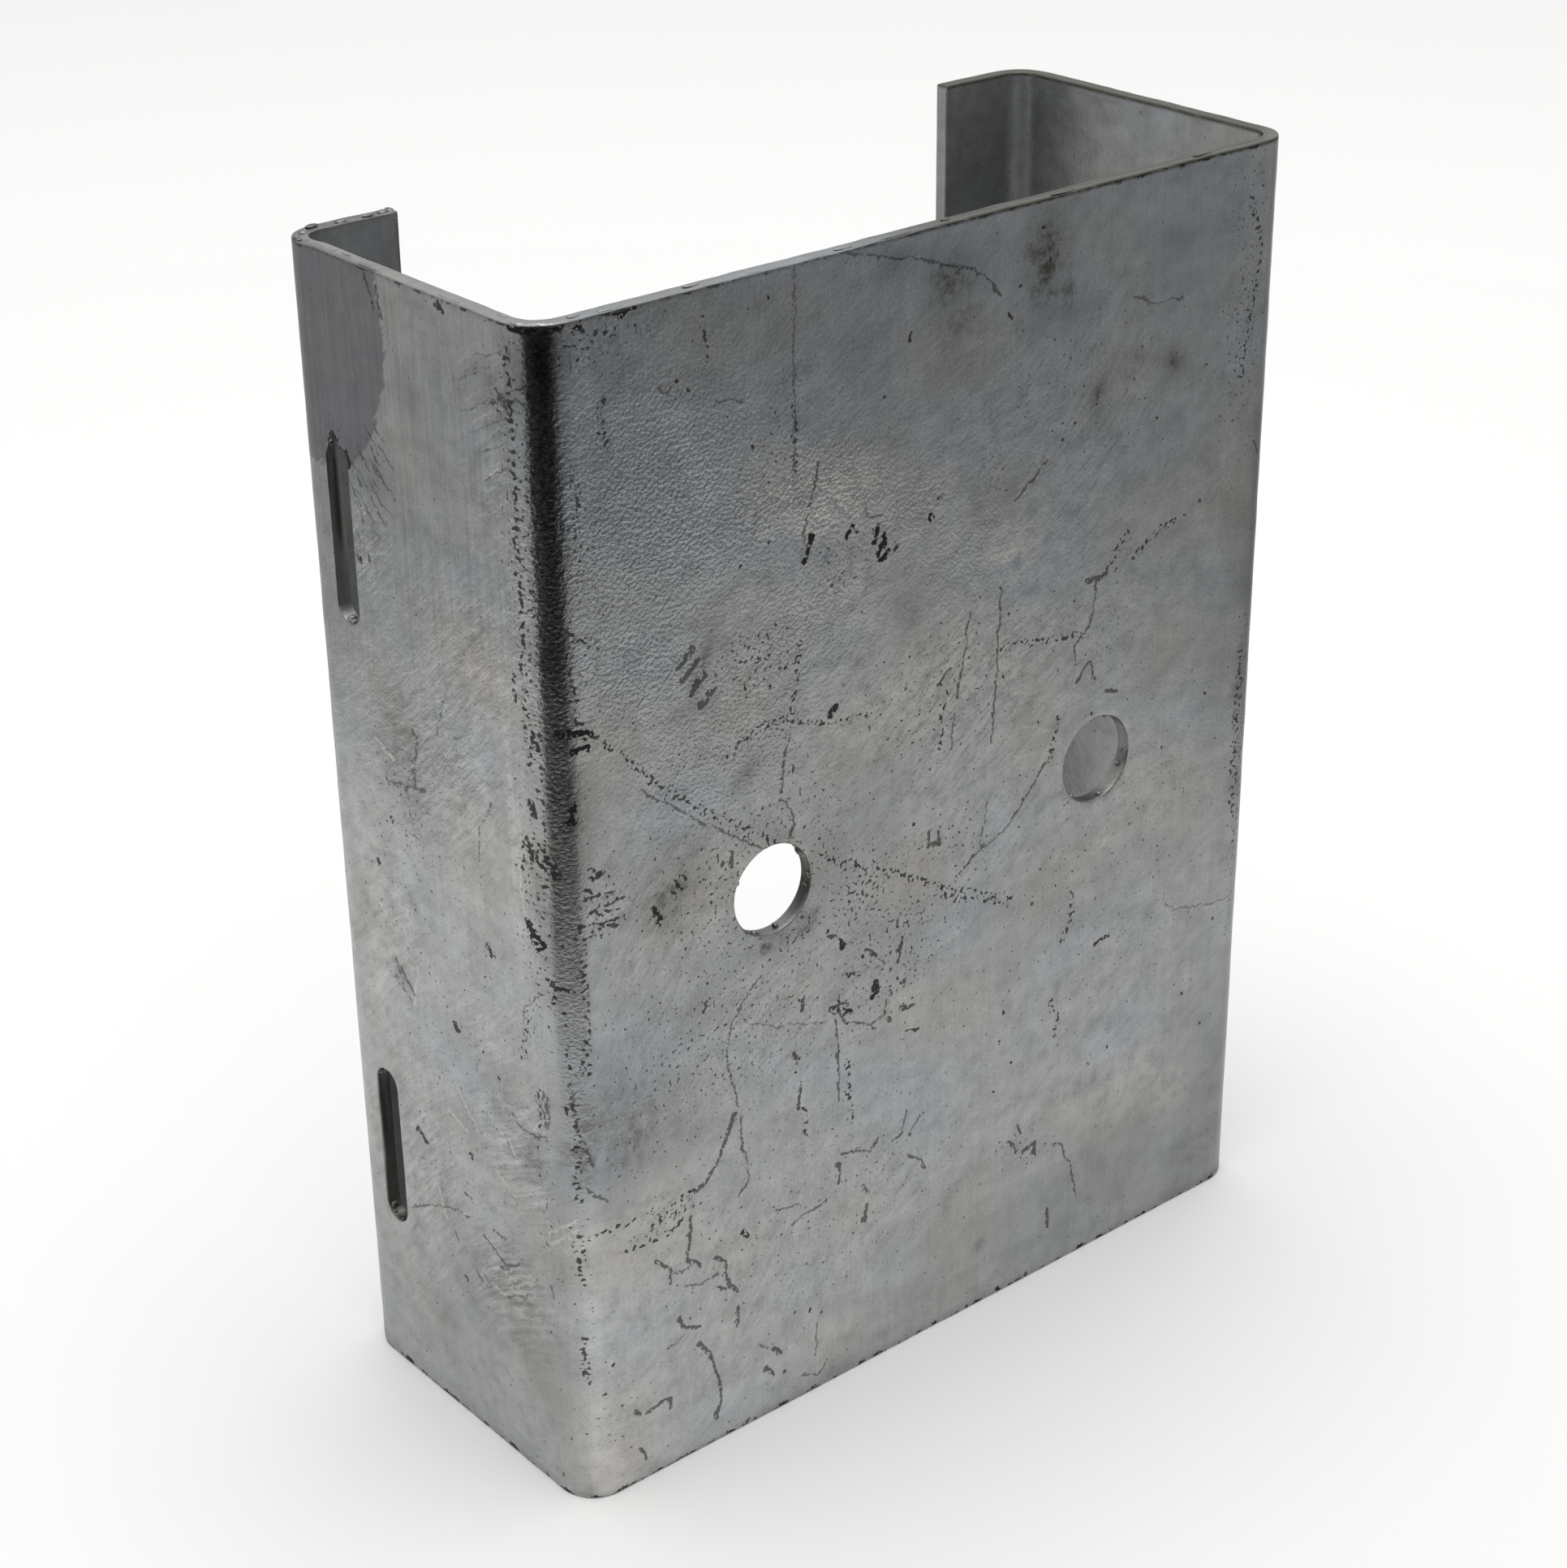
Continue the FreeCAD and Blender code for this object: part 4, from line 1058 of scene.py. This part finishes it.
def zinc_roughness(tree, noises, marks):
    """Satin: a little rougher in the warm clouds, the grain and the marks, and smoother where
    the zinc is polished."""
    cloud = stored(tree, "tone")[1]
    polish = stored(tree, "finish")[3]
    rough = 0.29
    for value, strength in ((cloud, 0.03), (noises["grain"], 0.12), (polish, -0.10), (marks, 0.2)):
        rough = node(tree, "Math", {0: value, 1: strength, 2: rough}, operation="MULTIPLY_ADD")
    return rough


def zinc_height(tree, noises):
    """The height of the skin for its bump: lumps of orange peel up to 0.18 mm, grain, which
    shows most where the zinc is polished, and the rubs and creases of the scuffed places."""
    _, peel, _, polish = stored(tree, "finish")
    scuffed = stored(tree, "scuff")[3]
    lumps = node(tree, "MapRange", {"Value": peel, "To Min": 0.02 * MM, "To Max": 0.18 * MM})
    grain = node(tree, "MapRange", {"Value": polish, "To Min": 0.006 * MM, "To Max": 0.026 * MM})
    rubs = node(tree, "Math", {0: scuffed, 1: 0.06 * MM}, operation="MULTIPLY")
    creases = node(tree, "Math", {0: scuffed, 1: 0.10 * MM}, operation="MULTIPLY")
    height = 0.0
    for name, reach in (("lumps", lumps), ("grain", grain), ("rubs", rubs), ("creases", creases)):
        inputs = {0: noises[name], 1: reach, 2: height}
        height = node(tree, "Math", inputs, operation="MULTIPLY_ADD")
    return height


def zinc_material():
    """Hot-dip galvanised steel: a bare zinc coat, satin, clouded faintly blue and warm where it
    cooled unevenly. An orange-peel skin, rubbed and brushed streaks, pits and gouges filled with
    dirt, and dark lines along the cut edges are all the eye gets of its handling. The dark line
    along the foot is painted shade, and the walls of the holes and slots carry painted shade and
    painted highlights."""
    material = bpy.data.materials.new("hot_dip_galvanised_steel")
    material.use_nodes = True
    tree = material.node_tree
    noises = zinc_noises(tree)
    marks, scratches = zinc_marks(tree, noises)
    colour = zinc_colour(tree, noises, marks, scratches)
    rough = zinc_roughness(tree, noises, marks)
    height = zinc_height(tree, noises)
    bump = node(tree, "Bump", {"Height": height, "Strength": 1.0, "Distance": 1.0})

    shader = tree.nodes["Principled BSDF"]
    shader.inputs["Metallic"].default_value = 1.0
    tree.links.new(colour, shader.inputs["Base Color"])
    tree.links.new(rough, shader.inputs["Roughness"])
    tree.links.new(bump, shader.inputs["Normal"])
    return material


# The camera stands where the photographer did: its place, in millimetres, its turns, in
# degrees, and its focal length came from the outline and the folds.

CAMERA_PLACE = Vector((-238.72, -283.82, 257.69)) * MM
CAMERA_AZIMUTH = 39.45
CAMERA_ELEVATION = 26.33
CAMERA_ROLL = -0.84
FOCAL_PIXELS = 3823.9
IMAGE_HEIGHT = 1932


def add_camera():
    """A pinhole camera, whose lens has to the sensor the ratio that the focal length has to the
    photo's height."""
    data = bpy.data.cameras.new("camera")
    data.sensor_width = 36.0
    data.lens = FOCAL_PIXELS * data.sensor_width / IMAGE_HEIGHT
    data.clip_start = 0.01
    camera = bpy.data.objects.new("camera", data)
    bpy.context.scene.collection.objects.link(camera)
    tilt = math.radians(90 - CAMERA_ELEVATION)
    turn = Euler((tilt, 0, math.radians(-CAMERA_AZIMUTH)), "XYZ").to_matrix()
    roll = Euler((0, 0, math.radians(CAMERA_ROLL)), "XYZ").to_matrix()
    camera.matrix_world = (turn @ roll).to_4x4()
    camera.location = CAMERA_PLACE
    bpy.context.scene.camera = camera


# Half the floor's width, in metres.

FLOOR_HALF = 4.0


def add_floor():
    """A wide sheet of matt white paper, which shows the bracket's soft shadow."""
    corners = np.array([[-1, -1, 0], [1, -1, 0], [1, 1, 0], [-1, 1, 0]]) * FLOOR_HALF
    floor = new_mesh("floor", corners, np.array([[0, 1, 2, 3]]))
    floor.data.materials.append(plain_material("pale_paper", "#fafaf9", 0.9))


def glow_material():
    """A studio card that gives off what its mesh holds under the name glow."""
    material = bpy.data.materials.new("studio_card")
    material.use_nodes = True
    # Only what the metal mirrors meets the card, so it isn't sampled as a lamp.
    material.cycles.emission_sampling = "NONE"
    tree = material.node_tree
    tree.nodes.clear()
    glow = node(tree, "Attribute", attribute_name="glow").node.outputs["Vector"]
    emission = node(tree, "Emission", {"Color": glow, "Strength": 1.0})
    node(tree, "OutputMaterial", {"Surface": emission})
    return material


def add_card(name, points, glow, material):
    """A card on a grid of points that only shows in reflections."""
    rows, columns = points.shape[:2]
    index = np.arange(rows * columns).reshape(rows, columns)
    quads = np.stack([index[:-1, :-1], index[1:, :-1], index[1:, 1:], index[:-1, 1:]], axis=-1)
    card = new_mesh(name, points.reshape(-1, 3), quads.reshape(-1, 4))
    write(card.data, "glow", "POINT", np.repeat(glow.reshape(-1, 1), 3, axis=1))
    card.data.materials.append(material)
    for kind in ("camera", "diffuse", "shadow", "transmission", "volume_scatter"):
        setattr(card, "visible_" + kind, False)
    return card


# The camera's side, as an angle from +X, and how far the bowl's paper runs flat from the near
# fold, in metres, before it stands upright.

CAMERA_SIDE = math.atan2(CAMERA_PLACE.y, CAMERA_PLACE.x)
BOWL_RADIUS = 0.56


def bowl_glow(turn, run):
    """How bright the bowl glows, by the turn from the camera's side, in degrees and positive past
    the web, and by the way along the paper, in metres. All of it is painted light for the metal to
    mirror. Past the web, a painted pool of light falls off with the way, with a darker band to the
    side. Past the flange it rises and falls again. Behind the bracket it is even. In front, there
    is a painted highlight at the foot, with a painted dark sector beyond, a painted shadow on the
    camera's side."""
    right_far = 0.18 + 0.26 * smoothstep(76, 92, turn)
    right = 0.87 + (right_far - 0.87) * smoothstep(0.22, 0.40, run)
    right *= 1 - 0.25 * smoothstep(110, 124, turn)
    band = smoothstep(93, 101, turn) * smoothstep(0.20, 0.27, run) * smoothstep(0.50, 0.42, run)
    right *= 1 - 0.28 * band
    left = 0.74 + 0.31 * smoothstep(0.02, 0.15, run) - 0.55 * smoothstep(0.215, 0.30, run)
    left += 0.06 * smoothstep(0.40, 0.50, run)
    # A painted highlight near the foot.
    painted_glint = bell(turn, 8, 60) * smoothstep(0.15, 0.06, run)
    behind = smoothstep(130, 165, np.abs(turn))
    glow = np.where(turn > 0, right, left)
    glow = glow + (0.75 - glow) * behind + 0.28 * painted_glint
    # A painted dark sector on the camera's side: a painted shadow in the reflections.
    painted_dark = smoothstep(-42, -33, turn) * smoothstep(62, 26, turn)
    return glow * (1 - 0.985 * painted_dark * smoothstep(0.08, 0.19, run))


def add_bowl():
    """What the metal mirrors: a glowing bowl about the near fold, painted with the light and shade
    of paper, flat on the floor and then upright, in steps that grow outwards. Where the bracket
    stands on it, it holds painted shade."""
    turns = np.linspace(-180, 180, 181)
    runs = np.linspace(0.0, 0.92, 111) ** 2
    turn, run = np.meshgrid(turns, runs, indexing="ij")
    angle = np.radians(turn) + CAMERA_SIDE
    reach = np.minimum(run, BOWL_RADIUS)
    x = -HALF_WEB * MM + reach * np.cos(angle)
    y = -HALF_FLANGE * MM + reach * np.sin(angle)
    rise = np.maximum(run - BOWL_RADIUS, 0.0004)
    under = np.maximum(np.abs(x) / MM - WIDTH / 2, np.abs(y) / MM - DEPTH / 2)
    # Painted light, with painted shade inside the bracket's outline.
    glow = bowl_glow(turn, run) * (0.2 + 0.8 * smoothstep(-4.0, 2.0, under))
    paper = add_card("reflected_paper", np.stack([x, y, rise], axis=-1), glow, glow_material())


def add_light(name, place, size, power):
    """A round soft lamp that faces the bracket's foot."""
    data = bpy.data.lights.new(name, "AREA")
    data.shape = "DISK"
    data.size = size
    data.energy = power
    light = bpy.data.objects.new(name, data)
    bpy.context.scene.collection.objects.link(light)
    light.location = place
    light.rotation_euler = (-Vector(place)).to_track_quat("-Z", "Y").to_euler()


def add_world():
    """An even pale surround: white to the camera and in reflections, and a little less as
    light."""
    world = bpy.data.worlds.new("studio")
    world.use_nodes = True
    tree = world.node_tree
    rays = node(tree, "LightPath").node.outputs
    seen = 0.0
    for kind in ("Camera", "Glossy", "Transmission"):
        seen = node(tree, "Math", {0: seen, 1: rays[f"Is {kind} Ray"]}, operation="MAXIMUM")
    background = tree.nodes["Background"]
    background.inputs["Color"].default_value = linear("#ffffff")
    strength = node(tree, "MapRange", {"Value": seen, "To Min": 0.78, "To Max": 1.0})
    tree.links.new(strength, background.inputs["Strength"])
    bpy.context.scene.world = world


channel, blank_points, blank_faces = galvanised_channel()
write_marks(channel.data, blank_points, blank_faces)
write_finish(channel.data, blank_points)
write_edges(channel.data, blank_points)
channel.data.materials.append(zinc_material())
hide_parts(NODE)
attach(channel, "root")

add_camera()
add_floor()
add_world()
add_bowl()
add_light("overhead", (0.0, 0.0, 1.3), 1.0, 6.0)
bpy.context.scene.view_settings.view_transform = "Standard"
